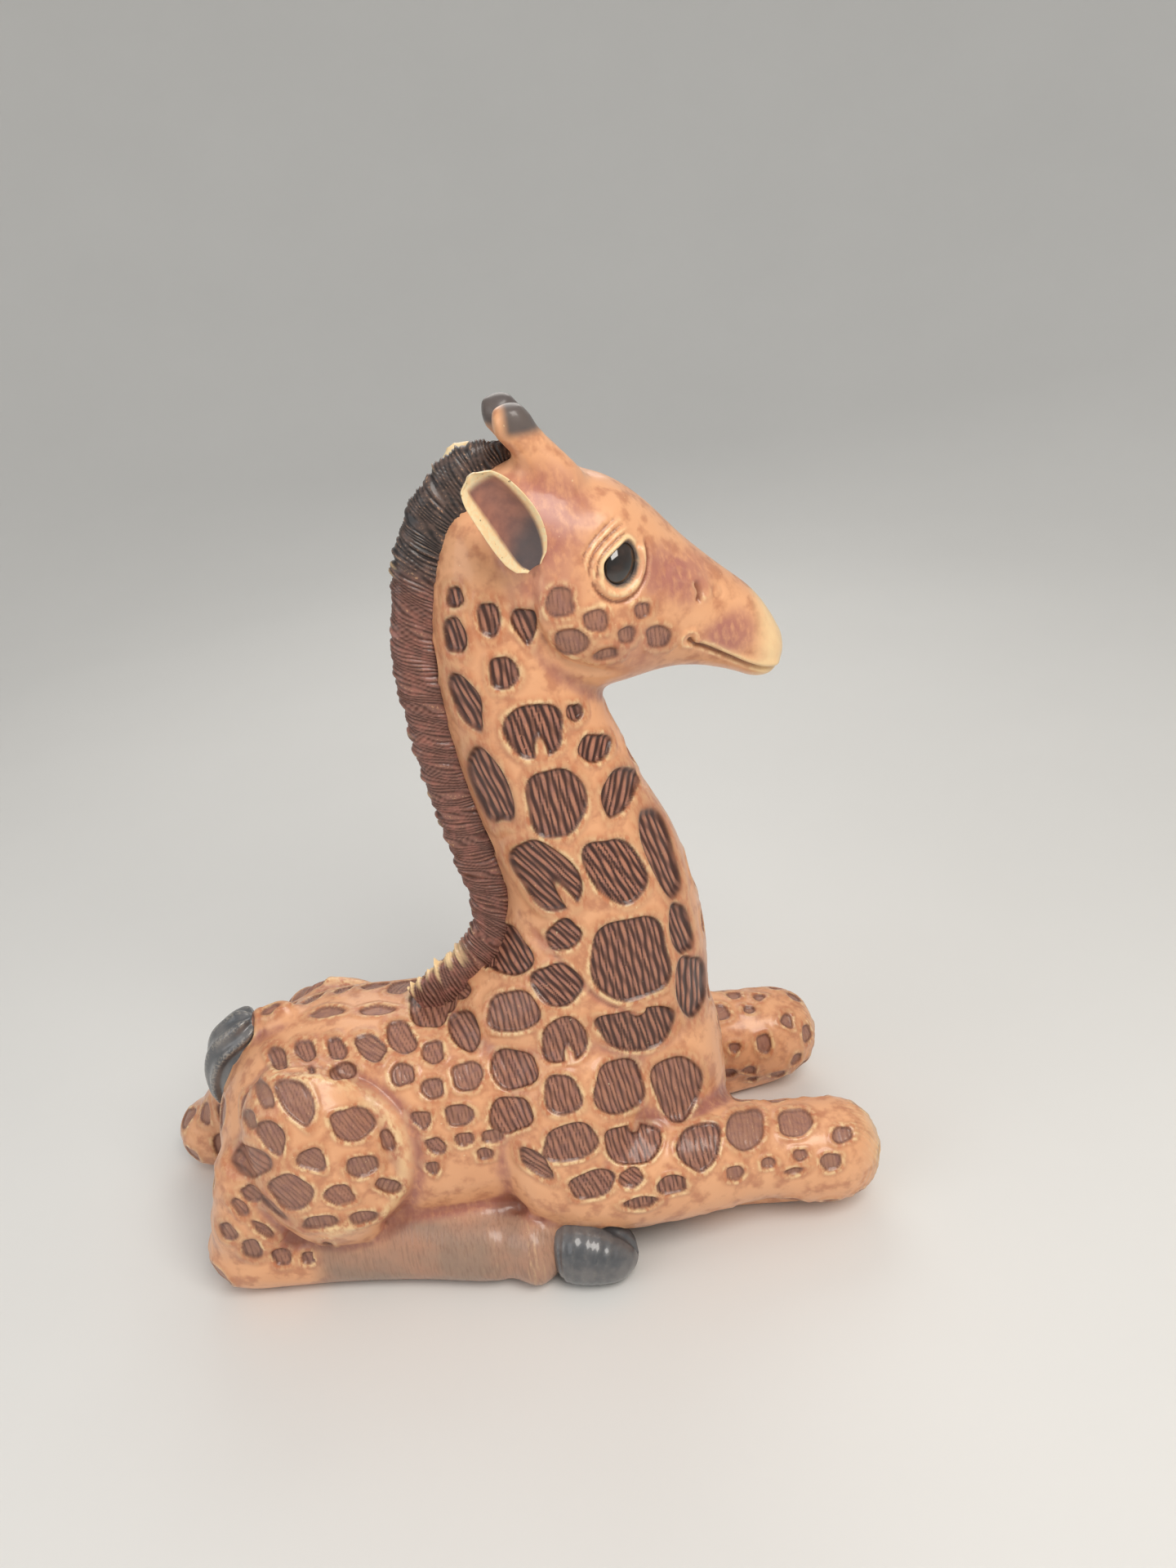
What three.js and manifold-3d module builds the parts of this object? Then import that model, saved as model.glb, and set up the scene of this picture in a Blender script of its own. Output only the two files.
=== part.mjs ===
// A lying giraffe calf figure, cast in pieces that are bonded together: body, neck, head, mane, ears,
// horns, glass eyes, folded legs, hooves, tail and a steel rod through the neck.
// Millimetres. +X is the way it faces, +Y its left side, +Z up. It lies on z = 0.
import * as THREE from "three";
import { mergeVertices } from "three/addons/utils/BufferGeometryUtils.js";
import Module from "manifold-3d";

const wasm = await Module();
wasm.setup();

// Driving dimensions
const GAP = 0.3; // bond line left between two pieces
const HEAD_YAW = 0.12; // the head turns a little to the figure's left, radians
const POLL = [15, 0]; // x and y of the axis that the head turns about
const HORN_SPREAD = 5.2; // half the distance between the horns
const EAR_SPREAD = 12.5; // half the distance between the ear roots
const EYE_RADIUS = 3.6;
const ROD_RADIUS = 1.6;
// The left legs lie further back than the right ones, and further out at the hock and at the knee.
const HIND_LEFT = { shift: -12, drop: 0, out: { "-60": 12, "20": 3 } };
const THIGH_LEFT = { shift: 3, drop: 3, out: { "-60": 0, "60": 0 } };
const FORE_LEFT = { shift: -3, drop: 0, out: { "0": 1, "60": 5 } };
const EAR_LEFT = { shift: 1, drop: 2.2, out: { "0": 0, "60": 0 } };
const LEVEL = { shift: 0, drop: 0, out: { "0": 0, "60": 0 } };

const HIDE = { color: 0xb9783f, roughness: 0.35, metalness: 0 };
const HORN = { color: 0x4d4038, roughness: 0.35, metalness: 0 };
const SLATE = { color: 0x4c5566, roughness: 0.35, metalness: 0 };
const DARK_HAIR = { color: 0x5d3c2c, roughness: 0.45, metalness: 0 };
const GLASS = { color: 0x0b0a0a, roughness: 0.05, metalness: 0 };
const STEEL = { color: 0x9a9c9e, roughness: 0.35, metalness: 1 };

const RIGHT = -1; // side factors: the right flank has negative y
const LEFT = 1;

// ---- Solids -------------------------------------------------------------------------------------

// A closed three.js geometry as a solid that can be joined and cut.
function solid(geometry) {
  const bare = geometry.index ? geometry.toNonIndexed() : geometry.clone();
  for (const name of Object.keys(bare.attributes)) {
    if (name !== "position") bare.deleteAttribute(name);
  }
  const merged = mergeVertices(bare, 1e-4);
  const mesh = new wasm.Mesh({
    numProp: 3,
    vertProperties: new Float32Array(merged.attributes.position.array),
    triVerts: new Uint32Array(merged.index.array),
  });
  return new wasm.Manifold(mesh);
}

// The largest single body of a solid, as a named mesh.
function piece(name, shape, look) {
  const bodies = shape.decompose();
  bodies.sort((a, b) => b.volume() - a.volume());
  const data = bodies[0].getMesh();
  const geometry = new THREE.BufferGeometry();
  geometry.setAttribute("position", new THREE.BufferAttribute(data.vertProperties, 3));
  geometry.setIndex(new THREE.BufferAttribute(data.triVerts, 1));
  geometry.computeVertexNormals();
  const mesh = new THREE.Mesh(geometry, new THREE.MeshStandardMaterial(look));
  mesh.name = name;
  return mesh;
}

// Catmull-Rom interpolation of equally long rows of numbers.
function between(rows, t) {
  const i = Math.min(Math.floor(t), rows.length - 2);
  const f = t - i;
  const at = (k) => rows[Math.max(0, Math.min(rows.length - 1, k))];
  const [a, b, c, d] = [at(i - 1), at(i), at(i + 1), at(i + 2)];
  return b.map((_, k) => {
    const slope1 = (c[k] - a[k]) / 2;
    const slope2 = (d[k] - b[k]) / 2;
    const rise = c[k] - b[k];
    return b[k] + f * slope1 + f * f * (3 * rise - 2 * slope1 - slope2)
      + f * f * f * (slope1 + slope2 - 2 * rise);
  });
}

// A skin over oval rings. Each ring is [centre x y z, side half-vector x y z, up half-vector x y z],
// square > 2 makes the ovals fuller, and keel narrows their lower half. The two ends close on a point.
// grow makes it thicker.
function skin(rings, { sides = 12, steps = 1, square = 2.2, keel = 0, grow = 0 } = {}) {
  const positions = [];
  const indices = [];
  const count = (rings.length - 1) * steps + 1;
  const centres = [];
  for (let i = 0; i < count; i++) {
    const row = between(rings, i / steps);
    const centre = new THREE.Vector3(row[0], row[1], row[2]);
    const side = new THREE.Vector3(row[3], row[4], row[5]);
    const up = new THREE.Vector3(row[6], row[7], row[8]);
    side.setLength(side.length() + grow);
    up.setLength(up.length() + grow);
    centres.push(centre);
    for (let j = 0; j < sides; j++) {
      const angle = (j / sides) * 2 * Math.PI;
      const c = Math.cos(angle);
      const s = Math.sin(angle);
      const full = (Math.abs(c) ** square + Math.abs(s) ** square) ** (-1 / square);
      const narrow = 1 - keel * Math.max(0, -s * full) ** 1.5;
      positions.push(...centre.clone().addScaledVector(side, c * full * narrow)
        .addScaledVector(up, s * full));
    }
  }
  for (const [end, next] of [[0, 1], [count - 1, count - 2]]) {
    const outward = centres[end].clone().sub(centres[next]).setLength(grow + 0.01);
    positions.push(...centres[end].clone().add(outward));
  }
  for (let i = 0; i < count - 1; i++) {
    for (let j = 0; j < sides; j++) {
      const k = (j + 1) % sides;
      const [a, b, c, d] = [i * sides + j, i * sides + k, (i + 1) * sides + k, (i + 1) * sides + j];
      indices.push(a, b, c, a, c, d);
    }
  }
  const first = count * sides;
  for (let j = 0; j < sides; j++) {
    const k = (j + 1) % sides;
    indices.push(first, k, j, first + 1, (count - 1) * sides + j, (count - 1) * sides + k);
  }
  const geometry = new THREE.BufferGeometry();
  geometry.setAttribute("position", new THREE.Float32BufferAttribute(positions, 3));
  geometry.setIndex(indices);
  const made = solid(geometry);
  if (made.volume() > 0) return made;
  for (let i = 0; i < indices.length; i += 3) {
    [indices[i], indices[i + 1]] = [indices[i + 1], indices[i]];
  }
  geometry.setIndex(indices);
  return solid(geometry);
}

// Rings for a body seen from the side: rows of [top x, top z, bottom x, bottom z, half width, y].
function sideRings(rows) {
  return rows.map(([tx, tz, bx, bz, half, y = 0]) => [
    (tx + bx) / 2, y, (tz + bz) / 2, 0, half, 0, (tx - bx) / 2, 0, (tz - bz) / 2,
  ]);
}

// Rings for a limb: rows of [x, y, z, radius across, radius up] along its axis.
function limbRings(rows) {
  return rows.map(([x, y, z, across, up], i) => {
    const a = new THREE.Vector3(...rows[Math.max(0, i - 1)].slice(0, 3));
    const b = new THREE.Vector3(...rows[Math.min(rows.length - 1, i + 1)].slice(0, 3));
    const along = b.sub(a).normalize();
    const outward = new THREE.Vector3(0, 1, 0).addScaledVector(along, -along.y).setLength(across);
    const normal = outward.clone().cross(along).setLength(up);
    return [x, y, z, ...outward, ...normal];
  });
}

// The same limb on the figure's left or right side. lie.shift moves it along, lie.drop lowers it, and
// lie.out moves it out by the amounts given at two values of x.
function onSide(rows, side, lie = LEVEL) {
  const [[x0, out0], [x1, out1]] = Object.entries(lie.out).map((pair) => pair.map(Number))
    .sort((a, b) => a[0] - b[0]);
  return rows.map(([x, y, z, ...radii]) => {
    const out = THREE.MathUtils.mapLinear(x, x0, x1, out0, out1);
    return [x + lie.shift, side * (y + out), z - lie.drop, ...radii];
  });
}

// Turns a head part with the head, about the upright axis through the poll.
function withHead(shape) {
  const turn = new THREE.Matrix4().makeTranslation(POLL[0], POLL[1], 0)
    .multiply(new THREE.Matrix4().makeRotationZ(HEAD_YAW))
    .multiply(new THREE.Matrix4().makeTranslation(-POLL[0], -POLL[1], 0));
  return shape.transform(turn.elements);
}

const BELOW = solid(new THREE.BoxGeometry(400, 400, 40).translate(0, 0, -20));
const grounded = (shape) => shape.subtract(BELOW);

// ---- Body, neck and head ------------------------------------------------------------------------

const TORSO = sideRings([
  [-56, 28, -55, 14, 3],
  [-54.5, 36, -53, 6, 12],
  [-50, 43, -49, 0, 17],
  [-42, 48.5, -42, -2, 20],
  [-30, 51, -30, -2.5, 21.5],
  [-16, 50, -16, -2.5, 22],
  [-2, 50, -2, -2.5, 22],
  [14, 51, 14, -2.5, 21],
  [28, 50.4, 28, -2, 19.4],
  [38, 48.2, 38, -1, 15.6],
  [43.2, 41, 42.6, 5, 9.5],
  [44.4, 31, 43.8, 14, 2.8],
]);

const NECK = sideRings([
  [13.5, 146, 20, 136, 3],
  [8, 142.5, 23, 129, 8.2],
  [4, 134, 25.5, 120.5, 9.4],
  [2, 124, 28, 112, 10.2],
  [1.7, 114, 30, 105, 10.8],
  [2.4, 103.5, 32.4, 98, 11.5],
  [4, 93, 35.2, 89.5, 12.5],
  [6, 82, 39.2, 80, 13.8],
  [7, 71, 41.8, 70, 15],
  [2.5, 60, 43, 59, 17],
  [-7, 50, 42.4, 49, 18],
  [-3, 41, 38, 40, 15.5],
  [8, 32, 31, 32, 5],
]);

const HEAD = sideRings([
  [12.5, 145, 14.5, 129, 3.5],
  [15, 149.4, 17.6, 117, 10.6],
  [21, 150.6, 22.6, 111.6, 13],
  [28, 147.8, 28.5, 110.2, 13.6],
  [34.4, 145.2, 33, 110.3, 12.8],
  [40, 140.6, 38, 110.8, 11.2],
  [46, 133.8, 42.4, 110.8, 9.4],
  [51.8, 127.4, 47.2, 109.8, 8.1],
  [57.6, 120.8, 52.4, 107.8, 7.3],
  [61.4, 114.2, 57, 105.6, 6],
  [62.4, 110.4, 60.6, 106.4, 2.6],
]);

// The mane is a thin crest let into the back of the neck, from the forelock to the withers.
const MANE = sideRings([
  [19, 153.2, 20, 151, 0.8],
  [14, 154.2, 18, 147.5, 2],
  [7.6, 151.4, 15, 142.5, 2.4],
  [1.8, 145.2, 11, 137.5, 2.4],
  [-1.8, 137.6, 8, 132, 2.4],
  [-3.6, 129.5, 5.8, 126, 2.4],
  [-5.4, 120.5, 4.6, 118.5, 2.4],
  [-5.1, 111, 4.4, 110, 2.3],
  [-4.4, 101, 5, 101, 2.3],
  [-3, 91, 6.4, 92, 2.3],
  [-1.7, 82, 7.8, 83, 2.3],
  [-0.2, 74, 9, 73, 2.3],
  [-0.2, 67, 8, 61.5, 2.2],
  [-3.8, 61.8, 3, 53.5, 2],
  [-9.6, 58.2, -4.5, 49, 1.8],
  [-14.8, 54, -11.5, 47, 1],
]);
const maneSkin = (grow) => skin(MANE, { sides: 8, square: 3, grow });

// ---- Horns, ears and eyes -----------------------------------------------------------------------

const hornRows = (side) => onSide([
  [26.5, HORN_SPREAD - 0.4, 143.5, 1.5, 1.5],
  [25.8, HORN_SPREAD - 0.2, 145.5, 4.2, 4.4],
  [24, HORN_SPREAD, 149.5, 3.4, 3.7],
  [21.6, HORN_SPREAD, 153.4, 2.9, 3],
  [20, HORN_SPREAD, 156, 3.2, 3.2],
  [18.9, HORN_SPREAD, 158.4, 2.9, 2.9],
  [18.3, HORN_SPREAD, 159.7, 1.3, 1.3],
], side);

// An ear is a leaf with a hollow front, standing out and back from the side of the head.
const EAR_ROOT = [19.2, EAR_SPREAD - 1.5, 135.6];
const EAR_TIP = [10.8, EAR_SPREAD + 4, 152.8];
function earRows(side, inset) {
  const row = (t, across, thick) => [
    THREE.MathUtils.lerp(EAR_ROOT[0], EAR_TIP[0], t) + inset * 0.6,
    THREE.MathUtils.lerp(EAR_ROOT[1], EAR_TIP[1], t) + inset * 2.2,
    THREE.MathUtils.lerp(EAR_ROOT[2], EAR_TIP[2], t),
    thick - inset * 0.7,
    across - inset * 1.1,
  ];
  const from = inset ? 0.16 : 0;
  const to = inset ? 0.92 : 1;
  return onSide([
    row(from, 1.2, 1.5),
    row(THREE.MathUtils.lerp(from, to, 0.12), 3.2, 2.2),
    row(THREE.MathUtils.lerp(from, to, 0.35), 5.2, 2.7),
    row(THREE.MathUtils.lerp(from, to, 0.6), 5.8, 2.8),
    row(THREE.MathUtils.lerp(from, to, 0.85), 4.3, 2.2),
    row(to, 1.4, 1.1),
  ], side, side === RIGHT ? LEVEL : EAR_LEFT);
}
const earSolid = (side, grow) => skin(limbRings(earRows(side, 0)), { grow });
const earHollow = (side) => skin(limbRings(earRows(side, 1)));

const eyePlace = (side) => [32.2, side * 9.6, 133.8];
const eyeBall = (side, grow) => solid(
  new THREE.SphereGeometry(EYE_RADIUS + grow, 14, 9).translate(...eyePlace(side)),
);

// ---- Legs and tail ------------------------------------------------------------------------------

const SHOULDER = [
  [17, 13, 47, 3, 3],
  [15.5, 14.5, 43, 6.5, 9],
  [13.5, 16.5, 34, 8.5, 12.5],
  [10.5, 17.5, 25, 9.5, 12.5],
  [9, 18, 16, 9, 9],
  [9.5, 18, 10, 3, 3],
];

const FOREARM = [
  [2, 17.5, 18, 2.5, 2.5],
  [5, 17.8, 18, 7.5, 8],
  [13, 18, 17.8, 9.8, 10.6],
  [25, 18, 17.4, 10.6, 11.4],
  [38, 17.2, 16.4, 10, 10.6],
  [49, 16.6, 14.6, 8.8, 9],
  [57, 16.4, 12.6, 9.4, 9.8],
  [64, 16.2, 11.6, 9.2, 9.6],
  [69, 16.2, 11.2, 6.4, 7],
  [71.4, 16.2, 11, 1.8, 2],
];

const FORE_CANNON = [
  [66, 15.6, 5.6, 2, 2],
  [63, 15.6, 5.4, 4.8, 4.6],
  [54, 15, 4.8, 5, 4.6],
  [44, 14, 4.8, 4.7, 4.4],
  [35, 13.2, 4.8, 5, 4.6],
  [31.5, 13, 4.8, 3.6, 3.4],
];

const FORE_HOOF = [
  [31.8, 13, 4.6, 3.6, 3.4],
  [29, 12.8, 4.6, 4.8, 4.4],
  [23, 12.4, 4, 5.2, 4],
  [19.6, 12.2, 3, 3.6, 2.6],
];

const THIGH = [
  [-38.5, 12.5, 50, 2, 3],
  [-38, 13.5, 46.5, 6.5, 8.5],
  [-36, 15.5, 40, 8.6, 12.5],
  [-33.8, 17, 31, 9.6, 14],
  [-33, 17.6, 22.5, 9, 12.6],
  [-33.4, 17.4, 15, 6, 8.6],
  [-33.6, 17, 12, 1.8, 3],
];

const HIND_SHANK = [
  [-44, 13, 33, 2, 3],
  [-46, 13.2, 29, 7, 9],
  [-49.5, 13.4, 20, 7.8, 8.6],
  [-52, 13.2, 12.5, 7.4, 8.2],
  [-53, 13, 7.5, 5, 5],
];

// The left shank leans back further, out to its hock.
const HIND_SHANK_LEFT = [
  [-46, 15.5, 31, 2, 3],
  [-50, 17.6, 27, 6.4, 7],
  [-57, 21, 20, 6.4, 6],
  [-63.4, 23.4, 13, 6.2, 5.6],
  [-66.6, 24.4, 9, 4, 4],
];

const HIND_CANNON = [
  [-62, 12.6, 8.4, 1.6, 1.8],
  [-60, 12.6, 8.4, 5.2, 5.4],
  [-55, 12.6, 8, 7.6, 7.8],
  [-46, 13.4, 7.2, 7.6, 7.4],
  [-34, 14.6, 7.2, 7.6, 7.6],
  [-20, 17, 7.4, 7.8, 7.8],
  [-8, 20, 7.2, 7.8, 7.6],
  [-1, 22, 6.8, 7, 6.8],
  [5, 24, 6.4, 6, 6],
  [7, 24.4, 6.2, 4, 4],
];

const HIND_HOOF = [
  [6.6, 24.4, 6, 4.6, 4.6],
  [8.4, 24.8, 6, 6.4, 6.2],
  [14, 26, 5.2, 6.8, 5.8],
  [18.6, 27, 3.8, 5.4, 4.4],
  [20.4, 27.4, 3, 2, 1.6],
];

const TAIL = [
  [-37, 3.4, 50.6, 1.2, 1],
  [-39.5, 3.8, 50.4, 2.3, 2.2],
  [-43, 4.6, 49.2, 2.4, 2.4],
  [-46, 5.2, 47.6, 2.4, 2.4],
  [-48, 5.6, 46, 1.6, 1.6],
];

const TAIL_TUFT = [
  [-45.5, 5.2, 48.6, 1.4, 1.4],
  [-47.4, 5.6, 47.2, 4, 3.6],
  [-51.4, 6, 43.4, 5.2, 4.4],
  [-54.4, 6.4, 37.6, 4.8, 3.8],
  [-56.2, 6.6, 32, 2.8, 2.4],
  [-56.8, 6.8, 29, 0.8, 0.8],
];

// ---- Assembly -----------------------------------------------------------------------------------

const limb = (rows, side, lie, grow = 0, sides = 14) => (
  skin(limbRings(onSide(rows, side, lie)), { sides, grow })
);

const rodCurve = new THREE.CatmullRomCurve3([
  new THREE.Vector3(22, 0, 26),
  new THREE.Vector3(23, 0, 60),
  new THREE.Vector3(18, 0, 96),
  new THREE.Vector3(16, 0, 130),
]);
function rodSolid(grow) {
  const radius = ROD_RADIUS + grow;
  const section = new THREE.Shape();
  section.absarc(0, 0, radius, 0, 2 * Math.PI, false);
  return solid(new THREE.ExtrudeGeometry(section, {
    steps: 12, curveSegments: 5, extrudePath: rodCurve,
  }));
}

const rod = rodSolid(0);
const rodBore = rodSolid(GAP);
const manes = { whole: maneSkin(0), bed: maneSkin(GAP) };
const heads = {
  whole: withHead(skin(HEAD, { sides: 20 })),
  grown: withHead(skin(HEAD, { sides: 20, grow: GAP })),
};
let neck = skin(NECK, { sides: 20, square: 2.1 });
const neckGrown = skin(NECK, { sides: 20, square: 2.1, grow: GAP });

let head = heads.whole.subtract(manes.bed).subtract(rodBore);
neck = neck.subtract(heads.grown).subtract(manes.bed).subtract(rodBore);
let torso = grounded(skin(TORSO, { sides: 20, square: 2.5, keel: 0.5 }));
torso = torso.subtract(neckGrown).subtract(manes.bed).subtract(rodBore);

const tail = limb(TAIL, LEFT, LEVEL, 0, 10);
const tuft = limb(TAIL_TUFT, LEFT, LEVEL, 0, 10);
const tuftGrown = limb(TAIL_TUFT, LEFT, LEVEL, GAP, 10);
const tailBed = limb(TAIL, LEFT, LEVEL, GAP, 10).add(tuftGrown);
torso = torso.subtract(tailBed);

const parts = [];
for (const side of [RIGHT, LEFT]) {
  const word = side === RIGHT ? "right" : "left";
  const fore = side === RIGHT ? LEVEL : FORE_LEFT;
  const hind = side === RIGHT ? LEVEL : HIND_LEFT;

  const hornGrown = withHead(skin(limbRings(hornRows(side)), { sides: 10, grow: GAP }));
  const horn = withHead(skin(limbRings(hornRows(side)), { sides: 10 }));
  const earGrown = withHead(earSolid(side, GAP));
  const ear = withHead(earSolid(side, 0).subtract(earHollow(side)));
  const eye = withHead(eyeBall(side, 0));
  head = head.subtract(hornGrown).subtract(earGrown).subtract(withHead(eyeBall(side, GAP)));
  neck = neck.subtract(earGrown);

  const shoulder = limb(SHOULDER, side, LEVEL);
  const forearm = limb(FOREARM, side, fore);
  const forearmGrown = limb(FOREARM, side, fore, GAP);
  const foreCannon = limb(FORE_CANNON, side, fore, 0, 10);
  const foreCannonGrown = limb(FORE_CANNON, side, fore, GAP, 10);
  const foreHoof = limb(FORE_HOOF, side, fore, 0, 10);
  const foreHoofGrown = limb(FORE_HOOF, side, fore, GAP, 10);
  const haunch = side === RIGHT ? LEVEL : THIGH_LEFT;
  const thigh = limb(THIGH, side, haunch);
  const thighGrown = limb(THIGH, side, haunch, GAP);
  const shankRows = side === RIGHT ? HIND_SHANK : HIND_SHANK_LEFT;
  const shank = limb(shankRows, side, LEVEL);
  const shankGrown = limb(shankRows, side, LEVEL, GAP);
  const cannon = limb(HIND_CANNON, side, hind);
  const cannonGrown = limb(HIND_CANNON, side, hind, GAP);
  const hoof = limb(HIND_HOOF, side, hind, 0, 10);
  const hoofGrown = limb(HIND_HOOF, side, hind, GAP, 10);

  torso = torso.subtract(limb(SHOULDER, side, LEVEL, GAP)).subtract(forearmGrown);
  torso = torso.subtract(foreCannonGrown).subtract(foreHoofGrown).subtract(thighGrown);
  torso = torso.subtract(shankGrown).subtract(cannonGrown).subtract(hoofGrown);
  neck = neck.subtract(limb(SHOULDER, side, LEVEL, GAP)).subtract(forearmGrown);

  const forearmCut = forearm.subtract(foreCannonGrown).subtract(foreHoofGrown)
    .subtract(cannonGrown).subtract(hoofGrown);

  parts.push(
    piece(`horn_${word}`, horn, HORN),
    piece(`ear_${word}`, ear, HIDE),
    piece(`eye_${word}`, eye, GLASS),
    piece(`shoulder_${word}`, shoulder.subtract(forearmGrown), HIDE),
    piece(`forearm_${word}`, grounded(forearmCut), HIDE),
    piece(`fore_cannon_${word}`, grounded(foreCannon.subtract(foreHoofGrown)), HIDE),
    piece(`fore_hoof_${word}`, grounded(foreHoof), SLATE),
    piece(`thigh_${word}`, thigh.subtract(shankGrown).subtract(cannonGrown).subtract(tailBed), HIDE),
    piece(`hind_shank_${word}`, shank.subtract(cannonGrown).subtract(tailBed), HIDE),
    piece(`hind_cannon_${word}`, grounded(cannon.subtract(hoofGrown)), HIDE),
    piece(`hind_hoof_${word}`, grounded(hoof), SLATE),
  );
}

parts.push(
  piece("torso", torso, HIDE),
  piece("neck", neck, HIDE),
  piece("head", head, HIDE),
  piece("mane", manes.whole, DARK_HAIR),
  piece("tail", tail.subtract(tuftGrown), HIDE),
  piece("tail_tuft", tuft, SLATE),
  piece("neck_rod", rod, STEEL),
);

const figure = new THREE.Group();
figure.add(...parts);

// The origin is under the middle of the figure's box.
const box = new THREE.Box3().setFromObject(figure);
const middle = box.getCenter(new THREE.Vector3());
figure.position.set(-middle.x, -middle.y, 0);

export default figure;
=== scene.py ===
"""A lying giraffe calf, 160 mm tall, made as cast resin in carved style, painted by hand and lacquered.
The size, the make, the division into castings and the neck rod are assumed. Lengths are millimetres in
the figure's own drawing: x forwards, y to its left, z up from the table."""

import bpy
import numpy as np
from mathutils import Matrix, Vector
from mathutils.bvhtree import BVHTree
from mathutils.kdtree import KDTree


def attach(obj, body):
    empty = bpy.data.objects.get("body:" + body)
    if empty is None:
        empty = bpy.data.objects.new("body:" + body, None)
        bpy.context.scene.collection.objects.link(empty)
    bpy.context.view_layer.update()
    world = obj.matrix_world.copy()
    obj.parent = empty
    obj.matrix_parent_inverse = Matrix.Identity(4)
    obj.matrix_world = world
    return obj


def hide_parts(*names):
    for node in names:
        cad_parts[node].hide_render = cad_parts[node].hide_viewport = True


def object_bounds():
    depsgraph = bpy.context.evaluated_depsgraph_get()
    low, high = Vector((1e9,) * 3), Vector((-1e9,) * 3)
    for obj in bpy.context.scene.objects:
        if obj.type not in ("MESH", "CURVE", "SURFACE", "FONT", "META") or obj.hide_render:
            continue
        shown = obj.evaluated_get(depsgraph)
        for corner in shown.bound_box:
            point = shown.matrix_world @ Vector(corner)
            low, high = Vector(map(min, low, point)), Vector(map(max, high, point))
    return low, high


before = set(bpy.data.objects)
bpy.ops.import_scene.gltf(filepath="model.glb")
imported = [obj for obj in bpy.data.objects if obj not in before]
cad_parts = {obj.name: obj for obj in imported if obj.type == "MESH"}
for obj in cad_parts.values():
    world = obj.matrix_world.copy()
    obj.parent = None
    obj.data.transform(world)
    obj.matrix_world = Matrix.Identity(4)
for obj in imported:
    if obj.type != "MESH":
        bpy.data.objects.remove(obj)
cad_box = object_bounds()


# ---- View and lamps ------------------------------------------------------------------------------
# The figure lies under three soft boxes and a pale sky. The eye is about 230 mm away from its middle, a
# little above its head and tilted sideways.
MM = 0.001
RIGHT, LEFT = -1, 1
KNEE_FRONT, HOOF_OUTSIDE = 71.41, -32.8  # the drawing's furthest x, at a knee, and its lowest y, at a hoof
OFFSET = np.array([cad_box[1][0] / MM - KNEE_FRONT, cad_box[0][1] / MM - HOOF_OUTSIDE, 0.0])

EYE_POINT = np.array([15.9, -203.2, 195.0])
EYE_FORWARD = (0.0387, 0.8900, -0.4543)
EYE_ROLL = np.radians(-7.65)
LENS, SENSOR, NEAREST = 29.25, 36.0, 10
SKY, SKY_STRENGTH = (0.86, 0.87, 0.88, 1), 0.6


def place(points):
    """Drawing millimetres to the frame's metres."""
    return (np.asarray(points, float) + OFFSET) * MM


def show(name, data):
    """A new object over data, in the scene."""
    made = bpy.data.objects.new(name, data)
    bpy.context.scene.collection.objects.link(made)
    return made


def facing(way):
    """The turn that points a camera or lamp along way."""
    return Vector(way).to_track_quat("-Z", "Y").to_matrix()


def add_camera():
    """A camera at EYE_POINT that looks along EYE_FORWARD, rolled about that line by EYE_ROLL."""
    data = bpy.data.cameras.new("view")
    data.lens = LENS
    data.sensor_width = SENSOR
    data.clip_start = NEAREST * MM
    turn = facing(EYE_FORWARD) @ Matrix.Rotation(EYE_ROLL, 3, "Z")
    camera = show("view", data)
    camera.matrix_world = Matrix.Translation(place(EYE_POINT)) @ turn.to_4x4()
    bpy.context.scene.camera = camera


def add_lamp(name, spot, aim, size, power, colour):
    """A square soft box at spot that faces aim."""
    data = bpy.data.lights.new(name, "AREA")
    data.size = size * MM
    data.energy = power
    data.color = colour
    way = np.subtract(aim, spot)
    show(name, data).matrix_world = Matrix.Translation(place(spot)) @ facing(way).to_4x4()


add_camera()
add_lamp("key", (150, -260, 420), (5, 0, 70), 240, 1.36, (1.0, 0.95, 0.89))
add_lamp("fill", (-330, -200, 240), (0, 0, 60), 300, 0.38, (0.95, 0.97, 1.0))
add_lamp("back", (40, 360, 330), (0, 0, 90), 280, 0.38, (1.0, 0.97, 0.93))
world = bpy.data.worlds.new("studio")
world.use_nodes = True
sky = world.node_tree.nodes["Background"].inputs
sky["Color"].default_value = SKY
sky["Strength"].default_value = SKY_STRENGTH
bpy.context.scene.world = world


# ---- Paints and lacquer --------------------------------------------------------------------------
# Every painted part is primed, painted in thin acrylic, washed with brown, dry-brushed with cream on the
# raised edges, and sprayed with clear lacquer. The brown and the cream also carry painted shade in the
# hollows and painted highlight on the ridges. A Coating is one finish as a node tree.
def colour(red, green, blue):
    """A paint swatch's 0 to 255 screen values as linear light."""
    c = np.array([red, green, blue]) / 255
    return (*np.where(c > 0.04045, ((c + 0.055) / 1.055) ** 2.4, c / 12.92), 1.0)


class Value:
    """A node's output that takes part in sums."""

    def __init__(self, coating, socket):
        self.coating, self.socket = coating, socket

    def __add__(self, other):
        return self.coating.math("ADD", self, other)

    def __sub__(self, other):
        return self.coating.math("SUBTRACT", self, other)

    def __rsub__(self, other):
        return self.coating.math("SUBTRACT", other, self)

    def __mul__(self, other):
        return self.coating.math("MULTIPLY", self, other)

    def clamped(self, low, high):
        """This value carried from low..high to a smooth 0..1."""
        settings = {"interpolation_type": "SMOOTHSTEP"}
        ends = {"Value": self, "From Min": low, "From Max": high}
        return self.coating.node("ShaderNodeMapRange", settings, ends)

    __radd__, __rmul__ = __add__, __mul__


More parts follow.
